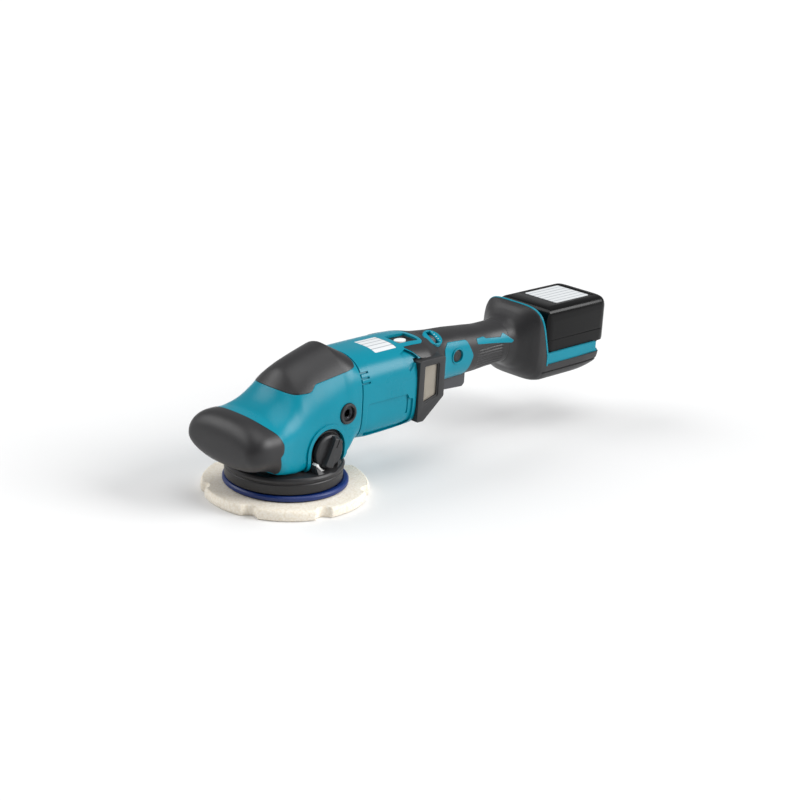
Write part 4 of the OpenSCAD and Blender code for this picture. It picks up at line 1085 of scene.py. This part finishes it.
@dataclass
class MotorHousing:
    """Teal motor housing with its side panels, rating plate, window and dust covers."""

    start: float = 62.0
    end: float = 176.0
    wall: float = 3.0
    plate: tuple[float, float, float, float] = (95.0, 125.0, -24.0, 8.0)
    window: tuple[float, float, float, float] = (132.0, 161.0, -19.0, 3.0)
    window_z: float = 131.6
    dust_x: float = 139.0
    dust_len: float = 37.0
    dust_z: float = 54.5
    dust_h: float = 65.0
    dust_face: float = 45.0
    slits: tuple[float, ...] = (108.5, 113.5, 118.5)
    wire_pitch: float = 1.25
    wire: float = 0.42
    body: tuple[Station, ...] = (
        Station(62, 42.5, 91, 134.5, 47.5, 2.7, 4), Station(82, 42.5, 91, 135, 46.5, 2.8, 4.5),
        Station(139, 42.5, 91, 135, 48.5, 2.9, 4.5),
        Station(160, 42.5, 93, 134, 54.5, 2.8, 3.6), Station(176, 35.5, 98, 132, 68, 2.5, 3))
    panel_line: tuple[PointXZ, ...] = ((70, 87.5), (126, 87.5), (129, 82), (134, 82), (134, 56), (126, 52),
                                       (70, 52))
    collar_line: tuple[PointXZ, ...] = ((132.5, 131.3), (139, 127.6), (148, 119.9), (158, 119.1),
                                        (176.5, 117), (176.5, 145), (167.5, 145),
                                        (167.5, 131.6), (158.6, 130.4), (145, 131.2))
    facet_line: tuple[PointXZ, ...] = ((122, 127.5), (128.7, 109.5), (144.5, 121.5), (139, 126.3),
                                       (132, 130))

    def shell(self, proud: float = 0.0) -> bpy.types.Object:
        """Hollow skin of the housing."""
        sections = between(self.body, np.linspace(self.start + 0.25, self.end, 90))
        skin = loft("housing", sections, -proud, 132)
        inner = between(self.body, np.linspace(self.start + 0.25, self.end, 40))
        inner[0] = inner[0]._replace(x=inner[0].x - 1)
        inner[-1] = inner[-1]._replace(x=inner[-1].x + 1)
        return combine(skin, loft("hollow", inner, self.wall, 132), Cut.AWAY)

    def recess(self, outline: Sequence[PointXZ], depth: float, y0: float, y1: float) -> bpy.types.Object:
        """Solid that cuts an even recess into the skin.

        Args:
            outline: Outline in the side view.
            depth: Depth of the recess.
            y0: Start of the cut across the body.
            y1: End of the cut.

        Returns:
            The cutting solid.
        """
        tool = prism(outline, y0, y1)
        return combine(tool, loft("floor", between(self.body, np.linspace(self.start - 3, self.end, 60)),
                                  depth, 96), Cut.AWAY)

    def build(self) -> None:
        """Makes every piece of the housing."""
        skin = self.shell()
        panel = fillet(self.panel_line, [4, 2, 2, 3, 5, 4, 4])
        for y0, y1 in ((-70, -25), (25, 70)):
            combine(skin, self.recess(panel, 1.7, y0, y1), Cut.AWAY)
            combine(skin, self.recess(fillet(self.facet_line, 1.5), 2.6, y0, y1), Cut.AWAY)
            combine(skin, self.recess(fillet([(125.5, 66), (128.5, 66), (128.5, 84.5), (125.5, 84.5)],
                                             1.4), 2.6, y0, y1), Cut.AWAY)
            for z in self.slits:
                combine(skin, self.recess(fillet([(60, z), (74 - 0.1 * (z - 108), z),
                                                  (74 - 0.1 * (z - 108), z + 2), (60, z + 2)], 0.6), 1.5,
                                                  y0, y1), Cut.AWAY)
            outline = [(self.dust_x - 0.5, self.dust_z - 4), (self.end + 1, self.dust_z - 4),
                       (self.end + 1, self.dust_z + self.dust_h + 1), (self.dust_x - 0.5,
                       self.dust_z + self.dust_h + 1)]
            combine(skin, prism(outline, y0 - 5 if y0 < 0 else 29.5, -29.5 if y0 < 0 else y1 + 5), Cut.AWAY)
        groove = combine(box((60, self.start + 1.5), (-70, 70), (20, 170)),
                         loft("floor", between(self.body, np.linspace(self.start - 3, self.start + 6, 12)),
                              1.3, 132), Cut.AWAY)
        combine(skin, groove, Cut.AWAY)
        x0, x1, y0, y1 = self.plate
        pocket = prism(fillet([(x0, y0), (x1, y0), (x1, y1), (x0, y1)], 1.5), 120, 160, "z")
        combine(pocket, loft("floor", between(self.body, np.linspace(self.start, self.end, 60)), 0.9, 96),
                Cut.AWAY)
        combine(skin, pocket, Cut.AWAY)
        u0, u1, v0, v1 = self.window
        combine(skin, prism(fillet([(u0, v0), (u1, v0), (u1, v1), (u0, v1)], 3), 118, 160, "z"), Cut.AWAY)
        collar = fillet(self.collar_line, [0.5, 5, 3, 3, 0, 0, 3, 4, 4, 4])
        combine(skin, self.recess(grown(collar, 0.2), 1.4, -70, 70), Cut.AWAY)
        soften(clean_rim(skin, 0.1), 0.55, 3, 34)
        settle(smooth(skin, 38), "motor_housing_moulding", Body.HOUSING, TEAL_ABS, "motor_housing")
        sheath = combine(combine(self.shell(0.3), prism(collar, -70, 70), Cut.KEEP),
                         loft("core", between(self.body, np.linspace(self.start - 3, self.end, 60)), 1.3,
                              96), Cut.AWAY)
        combine(sheath, box((100, 175.9), (-70, 70), (100, 160)), Cut.KEEP)
        settle(smooth(soften(clean_rim(sheath, 0.08), 0.4, 2), 38), "grip_collar_rubber", Body.HOUSING,
               ELASTOMER)
        plate = prism(fillet([(x0 + 0.3, y0 + 0.3), (x1 - 0.3, y0 + 0.3), (x1 - 0.3, y1 - 0.3),
                              (x0 + 0.3, y1 - 0.3)], 1.3), 120, 160, "z")
        fine = between(self.body, np.linspace(self.start, self.end, 60))
        combine(plate, loft("cap", fine, 0.15, 120), Cut.KEEP)
        combine(plate, loft("floor", fine, 0.8, 120), Cut.AWAY)
        settle(smooth(plate), "rating_plate_film", Body.HOUSING, LABEL_FILM, "top_plate")
        self.window_parts()
        for side, word, body in ((-1, "left", Body.DUST_LEFT), (1, "right", Body.DUST_RIGHT)):
            self.dust(side, word, body)

    def window_parts(self) -> None:
        """Makes the dark window with its pale button."""
        u0, u1, v0, v1 = self.window
        z = self.window_z
        tray = prism(fillet([(u0 + 0.3, v0 + 0.3), (u1 - 0.3, v0 + 0.3), (u1 - 0.3, v1 - 0.3),
                             (u0 + 0.3, v1 - 0.3)], 2.7), z - 4, z, "z")
        combine(tray, prism(fillet([(u0 + 3, v0 + 3), (u1 - 3, v0 + 3), (u1 - 3, v1 - 3),
                                    (u0 + 3, v1 - 3)], 2), z - 1.2, z + 2, "z"), Cut.AWAY)
        settle(smooth(soften(tray, 0.3, 2)), "indicator_tray", Body.HOUSING, NYLON, "indicator_window")
        x, y = u0 + 13, (v0 + v1) / 2
        oval = prism([(x + 7.2 * math.cos(a), y + 5.2 * math.sin(a)) for a in np.linspace(0, 2 * math.pi,
            48, endpoint=False)], z - 1.3, z + 0.9, "z")
        settle(smooth(soften(oval, 0.5, 3)), "indicator_lens", Body.HOUSING, WHITE_PRINT_AND_HIGHLIGHT)

    def dust_outline(self, t: float = 0.0) -> list[PointXZ]:
        """Side outline of a dust cover, drawn in by t."""
        x0, x1 = self.dust_x + t, self.dust_x + self.dust_len - t
        z0, z1 = self.dust_z + t, self.dust_z + self.dust_h - t
        return [(x0, z0), (x0 + 9 - t * 0.4, z0), (x1, z0 + 22 - t * 0.6), (x1, z1), (x0, z1)]

    def dust(self, side: int, word: str, body: Body) -> None:
        """Makes one dust cover with its net and foam.

        Args:
            side: -1 or 1.
            word: Name of that side.
            body: Moving group.
        """
        face = self.dust_face
        frame_solid = prism(fillet(self.dust_outline(), [1.5, 3, 3, 3, 3]), -face, -face + 12)
        combine(frame_solid, prism(self.dust_outline(3), -face + 3, -face + 20), Cut.AWAY)
        x0, z0, z1 = self.dust_x + 9, self.dust_z + 20, self.dust_z + self.dust_h - 7
        window = [(x0, z0), (x0 + 18, z0 + 5), (x0 + 18, z1), (x0, z1)]
        combine(frame_solid, prism(fillet(window, 1.2), -face - 5, -face + 8), Cut.AWAY)
        combine(frame_solid, prism(grown(fillet(window, 1.2), 1.6), -face - 5, -face + 1.1), Cut.AWAY)
        soften(frame_solid, 0.8, 3)
        xs, zs = np.arange(x0 - 1.6, x0 + 19.6, self.wire_pitch), np.arange(z0 - 1.5, z1 + 2,
            self.wire_pitch)
        mid_x, mid_z, y = x0 + 9, (z0 + z1) / 2, -face + 3.5
        upright = turned("wire", [(0.001, -(z1 - z0) / 2 - 2), (self.wire, -(z1 - z0) / 2 - 2),
                                  (self.wire, (z1 - z0) / 2 + 2), (0.001, (z1 - z0) / 2 + 2)], (0, 0, 0),
                                  steps=6)
        level = turned("wire", [(0.001, -11), (self.wire, -11), (self.wire, 11), (0.001, 11)], (0, 0, 0),
                       steps=6)
        net = Repeat("uprights", [(float(x), y, mid_z) for x in xs], [(0, 0, 1)] * len(xs), upright,
                     FILTER_NET).build()
        across = Repeat("levels", [(mid_x, y + 0.4, float(z)) for z in zs], [(1, 0, 0)] * len(zs), level,
                        FILTER_NET).build()
        sheet = prism(grown(window, 1.8), -face + 4.5, -face + 5.6)
        if side > 0:
            for piece in (frame_solid, net, across, sheet):
                Head.mirror(piece)
        settle(smooth(frame_solid), f"dust_cover_frame_{word}", body, NYLON, f"dust_cover_{word}")
        settle(smooth(net, 50), f"dust_net_uprights_{word}", body, FILTER_NET, f"dust_mesh_{word}")
        settle(smooth(across, 50), f"dust_net_levels_{word}", body, FILTER_NET)
        settle(smooth(sheet), f"dust_filter_sheet_{word}", body, FILTER_FOAM)


@dataclass
class Grip:
    """Rear grip: two rubber halves, side panels, trigger, lock button and speed dial."""

    start: float = 176.0
    end: float = 298.0
    wall: float = 3.0
    trigger_x: float = 206.0
    trigger_len: float = 38.0
    trigger_half: float = 11.0
    button_x: float = 215.0
    button_z: float = 106.5
    button_radius: float = 6.5
    dial_x: float = 185.0
    dial_y: float = -15.5
    dial_z: float = 128.9
    dial_tilt: float = 28.0
    wheel_y: float = -11.65
    wheel_z: float = 121.66
    wheel_radius: float = 9.0
    wheel_half: float = 2.5
    wheel_teeth: int = 30
    bezel_radius: float = 11.0
    slot_half: float = 8.8
    screws: tuple[float, ...] = (260.0, 284.0)
    screw_z: float = 103.0
    body: tuple[Station, ...] = (
        Station(176, 35.5, 98, 132, 68, 2.5, 3), Station(186, 29.5, 101, 131.5, 74, 2.4, 2.8),
        Station(200, 25.5, 103, 130.5, 77, 2.4, 2.6),
        Station(220, 24.5, 103, 129.5, 77.5, 2.4, 2.6), Station(250, 23.5, 102.5, 127, 77.5, 2.3, 2.5),
        Station(276, 22, 102, 125, 78.5, 2.3, 2.4),
        Station(298, 23, 102, 125, 79, 2.3, 2.4))
    panel_line: tuple[PointXZ, ...] = ((194, 94), (196, 116), (203, 122), (232, 120), (241, 102),
                                       (236, 88), (226, 62), (194, 62))
    stripe_line: tuple[PointXZ, ...] = ((248.6, 112.4), (248.3, 118), (260, 118), (264, 115.6),
                                        (286, 113.2), (291, 117), (304.5, 107.4), (302, 105.2))
    rib_pitch: float = 3.2
    rib_depth: float = 0.7

    def stations(self) -> list[Station]:
        """Closely spaced sections of the grip."""
        return between(self.body, np.linspace(self.start, self.end, 90))

    def ribs(self, flat: np.ndarray, x: float) -> np.ndarray:
        """Fine ribs that run along the lower flanks."""
        z = flat[:, 1]
        band = np.clip((109 - z) / 2, 0, 1) * np.clip((z - 82) / 2, 0, 1)
        along = min(1.0, max(0.0, (x - 249) / 3)) * min(1.0, max(0.0, (291 - x) / 3))
        return -self.rib_depth * band * along * (0.5 + 0.5 * np.cos(2 * math.pi * z / self.rib_pitch))

    def skin(self) -> bpy.types.Object:
        """Hollow rubber-covered skin of the grip."""
        xs = np.linspace(self.start, self.end, 130)
        skin = loft("grip", between(self.body, xs), 0.0, 240, self.ribs)
        inner = self.stations()
        inner[0], inner[-1] = inner[0]._replace(x=inner[0].x - 1), inner[-1]._replace(x=inner[-1].x + 1)
        return combine(skin, loft("hollow", inner, self.wall, 132), Cut.AWAY)

    def frame(self, piece: bpy.types.Object) -> bpy.types.Object:
        """Moves a piece made about the dial's own axes to its place on the grip.

        Args:
            piece: A piece made with the dial at the origin and its face up.

        Returns:
            The piece, in place.
        """
        piece.data.transform(Matrix.Translation(Vector((self.dial_x, self.dial_y, self.dial_z))
                                                * MM) @ Matrix.Rotation(math.radians(self.dial_tilt), 4,
                                                "X"))
        return piece

    def build(self) -> None:
        """Makes every piece of the grip."""
        skin = self.skin()
        panel = fillet(self.panel_line, [3, 5, 4, 5, 4, 3, 3, 2])
        for y0, y1 in ((-60, -14), (14, 60)):
            combine(skin, prism(grown(panel, 0.15), y0, y1), Cut.AWAY)
            for x in self.screws if y1 > 20 else ():
                combine(skin, prism(circle(x, self.screw_z, 4.1, 36), y0, y1), Cut.AWAY)
        combine(skin, box((self.trigger_x - 0.5, self.trigger_x + self.trigger_len + 0.6),
                          (-self.trigger_half - 0.6, self.trigger_half + 0.6), (50, 90)), Cut.AWAY)
        combine(skin, self.frame(turned("hole", [(0.01, -22), (self.bezel_radius + 0.2, -22),
                                                 (self.bezel_radius + 0.2, 12), (0.01, 12)], (0, 0, 0),
                                                 steps=80)), Cut.AWAY)
        stripe = fillet(self.stripe_line, [2, 2, 2, 3, 2, 2, 1, 2])
        path = self.stations()
        groove = combine(prism(grown(stripe, 0.12), -60, -10), loft("floor", path, 0.8, 96), Cut.AWAY)
        combine(skin, groove, Cut.AWAY)
        for side, word in ((-1, "left"), (1, "right")):
            half = copy_of(skin, word)
            combine(half, box((100, 400), (0.06, 80) if side > 0 else (-80, -0.06), (0, 200)), Cut.KEEP)
            soften(clean_rim(half, 0.08), 0.3, 2, 48)
            settle(smooth(half, 40), f"grip_{word}_rubber", Body.HOUSING, ELASTOMER, f"grip_{word}")
            cover = combine(loft("cover", path, -0.45, 132), loft("floor", path, 1.6, 132), Cut.AWAY)
            combine(cover, prism(panel, -60 if side < 0 else 15, -15 if side < 0 else 60), Cut.KEEP)
            combine(cover, box((190, 245), (-60, 60), (78.5, 130)), Cut.KEEP)
            if side < 0:
                combine(cover, prism(circle(self.button_x, self.button_z, self.button_radius + 0.35), -60,
                                     0), Cut.AWAY)
                ring = turned("ring", fillet([(self.button_radius + 0.4, 22), (self.button_radius + 2.2,
                    22), (self.button_radius + 2.0, 26.4), (self.button_radius + 0.6, 26.4)], 0.4, 4),
                              (self.button_x, 0, self.button_z), "y", 80)
                combine(cover, ring, Cut.JOIN)
            soften(clean_rim(cover, 0.08), 0.5, 3, 40)
            settle(smooth(cover, 40), f"side_panel_{word}_cover", Body.HOUSING, TEAL_ABS,
                   f"side_panel_{word}")
        bpy.data.objects.remove(skin)
        on = between(self.body + Shoe.body[1:], np.linspace(self.start, 315, 110))
        inlay = combine(prism(stripe, -60, -10), loft("cap", on, -0.3, 120), Cut.KEEP)
        combine(inlay, loft("floor", on, 0.75, 120), Cut.AWAY)
        settle(smooth(soften(clean_rim(inlay, 0.05), 0.2, 2)), "grip_stripe_inlay", Body.HOUSING, TEAL_ABS)
        self.controls()

    def controls(self) -> None:
        """Makes the button, trigger, dial and the dial's scale marks."""
        r = self.button_radius
        cap = turned("button", fillet([(0.01, 17.5), (r - 0.1, 17.5), (r - 0.1, 24.9), (r - 2.6, 25.5),
                                       (0.01, 25.1)], [0, 0.3, 1.1, 2, 0], 5),
                     (self.button_x, 0, self.button_z), "y", 72)
        settle(smooth(cap), "lock_button_cap", Body.BUTTON, ELASTOMER, "lock_button")
        x0, x1, h = self.trigger_x, self.trigger_x + self.trigger_len, self.trigger_half
        side = fillet([(x0, 84.5), (x0, 68), (x0 + 3, 66.2), (x1 - 3.5, 64.5), (x1, 67.5), (x1, 84.5)],
                      [0.5, 3, 3, 3, 3, 0.5])
        trigger = prism(side, -h, h)
        soften(trigger, 1.6, 5, 60)
        settle(smooth(trigger, 40), "trigger_paddle", Body.TRIGGER, GREY_NYLON, "trigger")
        b, s = self.bezel_radius, self.slot_half
        bezel = turned("bezel", fillet([(0.01, -5), (b, -5), (b, 1), (b - 0.8, 1.6), (b - 3, 1.1),
                                        (0.01, 1.1)], [0, 0.2, 0.7, 0.5, 0.5, 0], 4), (0, 0, 0), steps=96)
        combine(bezel, box((-self.wheel_half - 0.7, self.wheel_half + 0.7), (-s, s), (-30, 20)), Cut.AWAY)
        settle(smooth(self.frame(soften(clean_rim(bezel, 0.05), 0.3, 2))), "dial_bezel_ring", Body.HOUSING,
               TEAL_ABS, "dial_bezel")
        wheel = turned("wheel", fillet([(2.05, -self.wheel_half), (self.wheel_radius, -self.wheel_half),
                                        (self.wheel_radius, self.wheel_half), (2.05, self.wheel_half)],
                                        0.4, 4),
                       (self.dial_x, self.wheel_y, self.wheel_z), "x", 240,
                       lambda a, q, h: q - (0.38 * (0.5 - 0.5 * math.cos(self.wheel_teeth * a)) if q > 7
                                            else 0))
        settle(smooth(wheel, 50), "speed_dial_wheel", Body.DIAL, GREY_NYLON, "speed_dial")
        ticks = [self.frame(box((self.wheel_half + 2.2, self.wheel_half + 3.6 - 0.2 * abs(k)),
                                (3.4 * k - 0.3, 3.4 * k + 0.3), (0.6, 1.25))) for k in (-2, -1, 0, 1, 2)]
        for tick in ticks[1:]:
            combine(ticks[0], tick, Cut.JOIN)
        settle(ticks[0], "dial_scale_marks", Body.HOUSING, WHITE_PRINT_AND_HIGHLIGHT)


@dataclass
class Shoe:
    """Battery shoe: flared rubber hood, teal rim edge and rear sole."""

    start: float = 298.0
    end: float = 433.0
    bay: tuple[PointXZ, ...] = ((325, 162), (340, 86), (340, 77), (493, 77), (493, 162))
    body: tuple[Station, ...] = (
        Station(298, 23, 102, 125, 79, 2.3, 2.4), Station(308, 25, 101, 127, 75, 2.4, 2.4),
        Station(317, 32, 99, 133, 70, 2.8, 2.6),
        Station(322.5, 38, 97, 138.5, 65, 3.4, 3), Station(328, 41.4, 96, 141.5, 60.5, 4.5, 3.6),
        Station(335, 42, 96, 142, 56, 5, 4.4),
        Station(342, 42, 96, 142, 55.5, 5, 5), Station(391, 42, 96, 142, 55.5, 5, 5), Station(429, 41, 96,
        142, 60, 5, 5),
        Station(433, 38, 96, 142, 64, 5, 5))

    def stations(self) -> list[Station]:
        """Closely spaced sections of the shoe."""
        return between(self.body, np.concatenate([np.linspace(self.start, 345, 60), np.linspace(347,
            self.end, 40)]))

    def build(self) -> None:
        """Makes the hood, its coloured edge and the sole."""
        path = self.stations()
        hood = loft("shoe", path, 0.0, 144)
        bay = fillet(self.bay, [0, 5, 4, 0, 0])
        combine(hood, prism(bay, -90, 90), Cut.AWAY)
        inner = [s for s in path if s.x < 336]
        inner[0] = inner[0]._replace(x=inner[0].x - 1)
        combine(hood, combine(loft("hollow", inner, 3.2, 144), prism([(290, 40), (318, 40), (321, 150),
            (290, 150)], -60, 60), Cut.KEEP), Cut.AWAY)
        lower = prism([(336, 69.5), (336, 67.5), (500, 67.5), (500, 69.5)], -60, 60)
        combine(lower, loft("floor", path, 1.0, 96), Cut.AWAY)
        combine(hood, lower, Cut.AWAY)
        front = [(326.5, 150), (342.5, 88.5), (342.5, 76), (340.6, 76), (340.6, 87.5), (324.2, 150)]
        edge = combine(prism(front, -60, 60), loft("cap", path, -0.25, 144), Cut.KEEP)
        combine(edge, loft("floor", path, 2.2, 144), Cut.AWAY)
        combine(hood, copy_of(edge, "edge tool"), Cut.AWAY)
        soften(clean_rim(hood, 0.1), 0.9, 4, 40)
        settle(smooth(hood, 42), "battery_shoe_moulding", Body.HOUSING, ELASTOMER, "battery_shoe")
        settle(smooth(soften(clean_rim(edge, 0.05), 0.25, 2)), "shoe_edge_inlay", Body.HOUSING, TEAL_ABS)


@dataclass
class Battery:
    """Slide-on battery: gloss case with a lower rail block, framed blank panel and latch."""

    nose: float = 342.0
    front: float = 346.0
    back: float = 446.0
    half: float = 37.5
    low: float = 88.3
    top: float = 138.5
    edge: float = 11.0
    rail: tuple[float, float, float, float] = (348.0, 441.0, 80.0, 94.0)
    rail_half: float = 33.5
    rear_round: float = 12.0
    rear_power: float = 2.2
    latch_bay: tuple[float, float, float] = (421.6, 18.4, 96.4)
    seam_rise: float = 13.2
    vents: int = 4
    vent_pitch: float = 5.0
    vent_low: float = 104.0

    def rear(self) -> bpy.types.Object:
        """Solid that rounds the rear corners in every direction."""
        r, y = self.rear_round, self.half
        path = [Station(self.nose - 2, y, 100, self.top, 60, 8, 8)]
        for u in np.linspace(0, 0.999, 22):
            drop = r * (1 - (1 - u**self.rear_power) ** (1 / self.rear_power))
            path.append(Station(self.back - r + r * float(u), y - drop, 100, self.top - drop, 60, 8, 8))
        path.append(path[-1]._replace(x=self.back + 0.5))
        return loft("rear", path, 0.0, 144)

    def build(self) -> None:
        """Makes the case with its trim and label, and the bay for the latch."""
        y, e = self.half, self.edge
        side = fillet([(self.nose, 97), (self.front + 3, self.low), (self.back - 6, self.low),
                       (self.back, self.low + 7), (self.back, self.top), (self.front, self.top)],
                      [4, 3, 4, 4, e, e], 10)
        case = prism(side, -y, y)
        plan = fillet([(self.nose, -y), (self.back, -y), (self.back, y), (self.nose, y)], [12, 14, 14, 12],
                      12)
        combine(case, prism(plan, 70, 150, "z"), Cut.KEEP)
        across = fillet([(-y, self.low - 3), (y, self.low - 3), (y, self.top), (-y, self.top)],
                        [0, 0, e, e], 10)
        combine(case, prism(across, 330, 460, "x"), Cut.KEEP)
        combine(case, self.rear(), Cut.KEEP)
        seam = combine(box((330, 460), (-60, 60), (self.low + self.seam_rise,
                                                   self.low + self.seam_rise + 1)),
                                                   box((self.nose + 5.6, self.back - 0.7),
                                                   (-y + 0.7, y - 0.7), (60, 160)), Cut.AWAY)
        combine(case, seam, Cut.AWAY)
        frame_in = prism(fillet([(self.front + 19, -y + 10), (self.back - 14.5, -y + 10),
                                 (self.back - 14.5, y - 10), (self.front + 19, y - 10)], 4),
                                 self.top - 0.7, self.top + 4, "z")
        combine(case, frame_in, Cut.AWAY)
        for k in range(self.vents):
            x, z = self.back - 0.9, self.vent_low + self.vent_pitch * k
            combine(case, box((x, x + 3), (-16, 16), (z, z + 2)), Cut.AWAY)
        x0, x1, z0, z1 = self.rail
        block = prism(fillet([(x0, z0 + 3), (x0 + 3, z0), (x1, z0), (x1, z1), (x0, z1)], [1, 1, 3, 0, 0]),
                      -self.rail_half, self.rail_half)
        bay_x, bay_half, bay_top = self.latch_bay
        for solid in (block, case):
            combine(solid, box((bay_x, 460), (-bay_half, bay_half), (70, bay_top)), Cut.AWAY)
        combine(case, block, Cut.JOIN)
        for y0, y1 in ((-60, -19.5), (19.5, 60)):
            combine(case, prism([(424.5, 76), (439, 89.5), (446.5, 95.5), (460, 95.5), (460, 70),
                                 (424.5, 70)], y0, y1), Cut.AWAY)
        soften(clean_rim(case, 0.08), 0.6, 3, 36)
        settle(smooth(case), "battery_case_moulding", Body.BATTERY, POLYCARBONATE, "battery_case")
        panel = prism(fillet([(self.front + 25, -y + 14.5), (self.back - 19, -y + 14.5), (self.back - 19,
            y - 14.5), (self.front + 25, y - 14.5)], 2.5), self.top - 0.69, self.top - 0.35, "z")
        settle(smooth(panel), "battery_blank_label", Body.BATTERY, LABEL_FILM)


@dataclass
class InnerWorks:
    """Parts whose plain shape is right; each gets its surface by its node's name."""

    surfaces: tuple[tuple[str, Finish], ...] = (
        ("hook_disc", HOOK_TAPE), ("pad_bolt", STEEL), ("pad_shaft", GEAR_STEEL), ("pad_bearings", STEEL),
        ("spindle", GEAR_STEEL),
        ("counterweight", GEAR_STEEL), ("bevel_gear", GEAR_STEEL), ("bearing_retainer", ALUMINIUM),
        ("ring_gear", GEAR_STEEL),
        ("lock_slider", GEAR_STEEL), ("knob_shaft", STEEL), ("bearing_box", ALUMINIUM), ("gear_housing",
        ALUMINIUM),
        ("spindle_bearing_lower", STEEL), ("spindle_bearing_upper", STEEL), ("bevel_pinion", GEAR_STEEL),
        ("motor_shaft", STEEL),
        ("rotor_core", GEAR_STEEL), ("fan", NYLON), ("motor_bearing_front", STEEL), ("motor_bearing_rear",
        STEEL),
        ("stator_core", GEAR_STEEL), ("stator_coils", COPPER), ("controller", EPOXY), ("grip_screws",
        STEEL),
        ("trigger_spring", STEEL), ("switch_body", NYLON), ("shoe_liner", TEAL_ABS), ("terminal_block",
        NYLON),
        ("battery_cells", SHRINK_WRAP), ("battery_latch", GREY_NYLON), ("latch_spring", STEEL))

    def build(self, nodes: dict[str, bpy.types.Object]) -> None:
        """Paints the parts.

        Args:
            nodes: Every node of the frame by name.
        """
        for name, finish in self.surfaces:
            if name not in nodes:
                log.warning("no node %s", name)
                continue
            piece = nodes[name]
            if not piece.material_slots:
                piece.data.materials.append(None)
            for place in piece.material_slots:
                place.link = "OBJECT"
                place.material = finish.build()


class Lamp(NamedTuple):
    """A broad even lamp, by the direction that its light comes from."""

    name: str
    source: tuple[float, float, float]
    strength: float
    width: float


@dataclass
class Studio:
    """Camera, soft lights, pale floor and world."""

    azimuth: float = -46.0
    elevation: float = 19.0
    roll: float = 3.4
    distance: float = 1.95
    lens: float = 84.68
    target: tuple[float, float, float] = (0.159, 0.0, 0.0623)
    floor_half: float = 10.0
    world: str = "#F4F5F6"
    world_strength: float = 0.36
    lamps: tuple[Lamp, ...] = (Lamp("key", (0.62, -0.72, 0.52), 2.55, 34), Lamp("fill", (-0.5, 0.66, 0.6),
        1.3, 40),
                               Lamp("overhead", (0.05, -0.1, 1.0), 1.2, 50))

    def build(self) -> None:
        """Makes the whole studio."""
        self.camera()
        self.floor()
        self.lights()
        bpy.context.scene.view_settings.view_transform = "Standard"

    def camera(self) -> None:
        """Places the camera with its small roll."""
        a, e, r = math.radians(self.azimuth), math.radians(self.elevation), math.radians(self.roll)
        back = Vector((math.sin(a) * math.cos(e), -math.cos(a) * math.cos(e), math.sin(e)))
        level = Vector((0, 0, 1)).cross(back).normalized()
        up = back.cross(level)
        side = math.cos(r) * level + math.sin(r) * up
        top = -math.sin(r) * level + math.cos(r) * up
        data = bpy.data.cameras.new("camera")
        data.lens, data.sensor_width = self.lens, 36.0
        data.clip_start, data.clip_end = 0.05, 60.0
        camera = bpy.data.objects.new("camera", data)
        bpy.context.collection.objects.link(camera)
        turn = Matrix((side, top, back)).transposed()
        camera.matrix_world = Matrix.Translation(Vector(self.target) + back * self.distance) @ turn.to_4x4()
        bpy.context.scene.camera = camera

    def floor(self) -> None:
        """Makes a wide matt floor under the pad."""
        h = self.floor_half * 1000
        piece = make("floor", [(-h, -h, 0), (h, -h, 0), (h, h, 0), (-h, h, 0)], [(0, 1, 2, 3)])
        material = bpy.data.materials.new("matt floor")
        material.use_nodes = True
        shader = [n for n in material.node_tree.nodes if n.type == "BSDF_PRINCIPLED"][0]
        shader.inputs["Base Color"].default_value = linear("#E6E6E6")
        shader.inputs["Roughness"].default_value = 0.8
        shader.inputs["Specular IOR Level"].default_value = 0.2
        piece.data.materials.append(material)

    def lights(self) -> None:
        """Hangs the broad lamps and sets the world's even light."""
        for lamp in self.lamps:
            data = bpy.data.lights.new(lamp.name, "SUN")
            data.energy, data.angle = lamp.strength, math.radians(lamp.width)
            piece = bpy.data.objects.new(lamp.name, data)
            bpy.context.collection.objects.link(piece)
            piece.location = Vector(self.target) + 2 * Vector(lamp.source).normalized()
            piece.rotation_mode = "QUATERNION"
            piece.rotation_quaternion = Vector(lamp.source).to_track_quat("Z", "Y")
        world = bpy.data.worlds.new("studio")
        world.use_nodes = True
        light = [n for n in world.node_tree.nodes if n.type == "BACKGROUND"][0]
        light.inputs["Color"].default_value = linear(self.world)
        light.inputs["Strength"].default_value = self.world_strength
        bpy.context.scene.world = world


def main() -> None:
    """Builds the studio and the whole polisher."""
    logging.basicConfig(level=logging.INFO, format="%(message)s")
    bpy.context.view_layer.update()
    Studio().build()
    nodes = {o["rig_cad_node"]: o for o in bpy.data.objects if "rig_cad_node" in o}
    InnerWorks().build(nodes)
    for assembly in (PolishingPad(), Skirt(), Head(), ModeKnob(), MotorHousing(), Grip(), Shoe(),
                     Battery()):
        assembly.build()


if __name__ == "__main__":
    main()
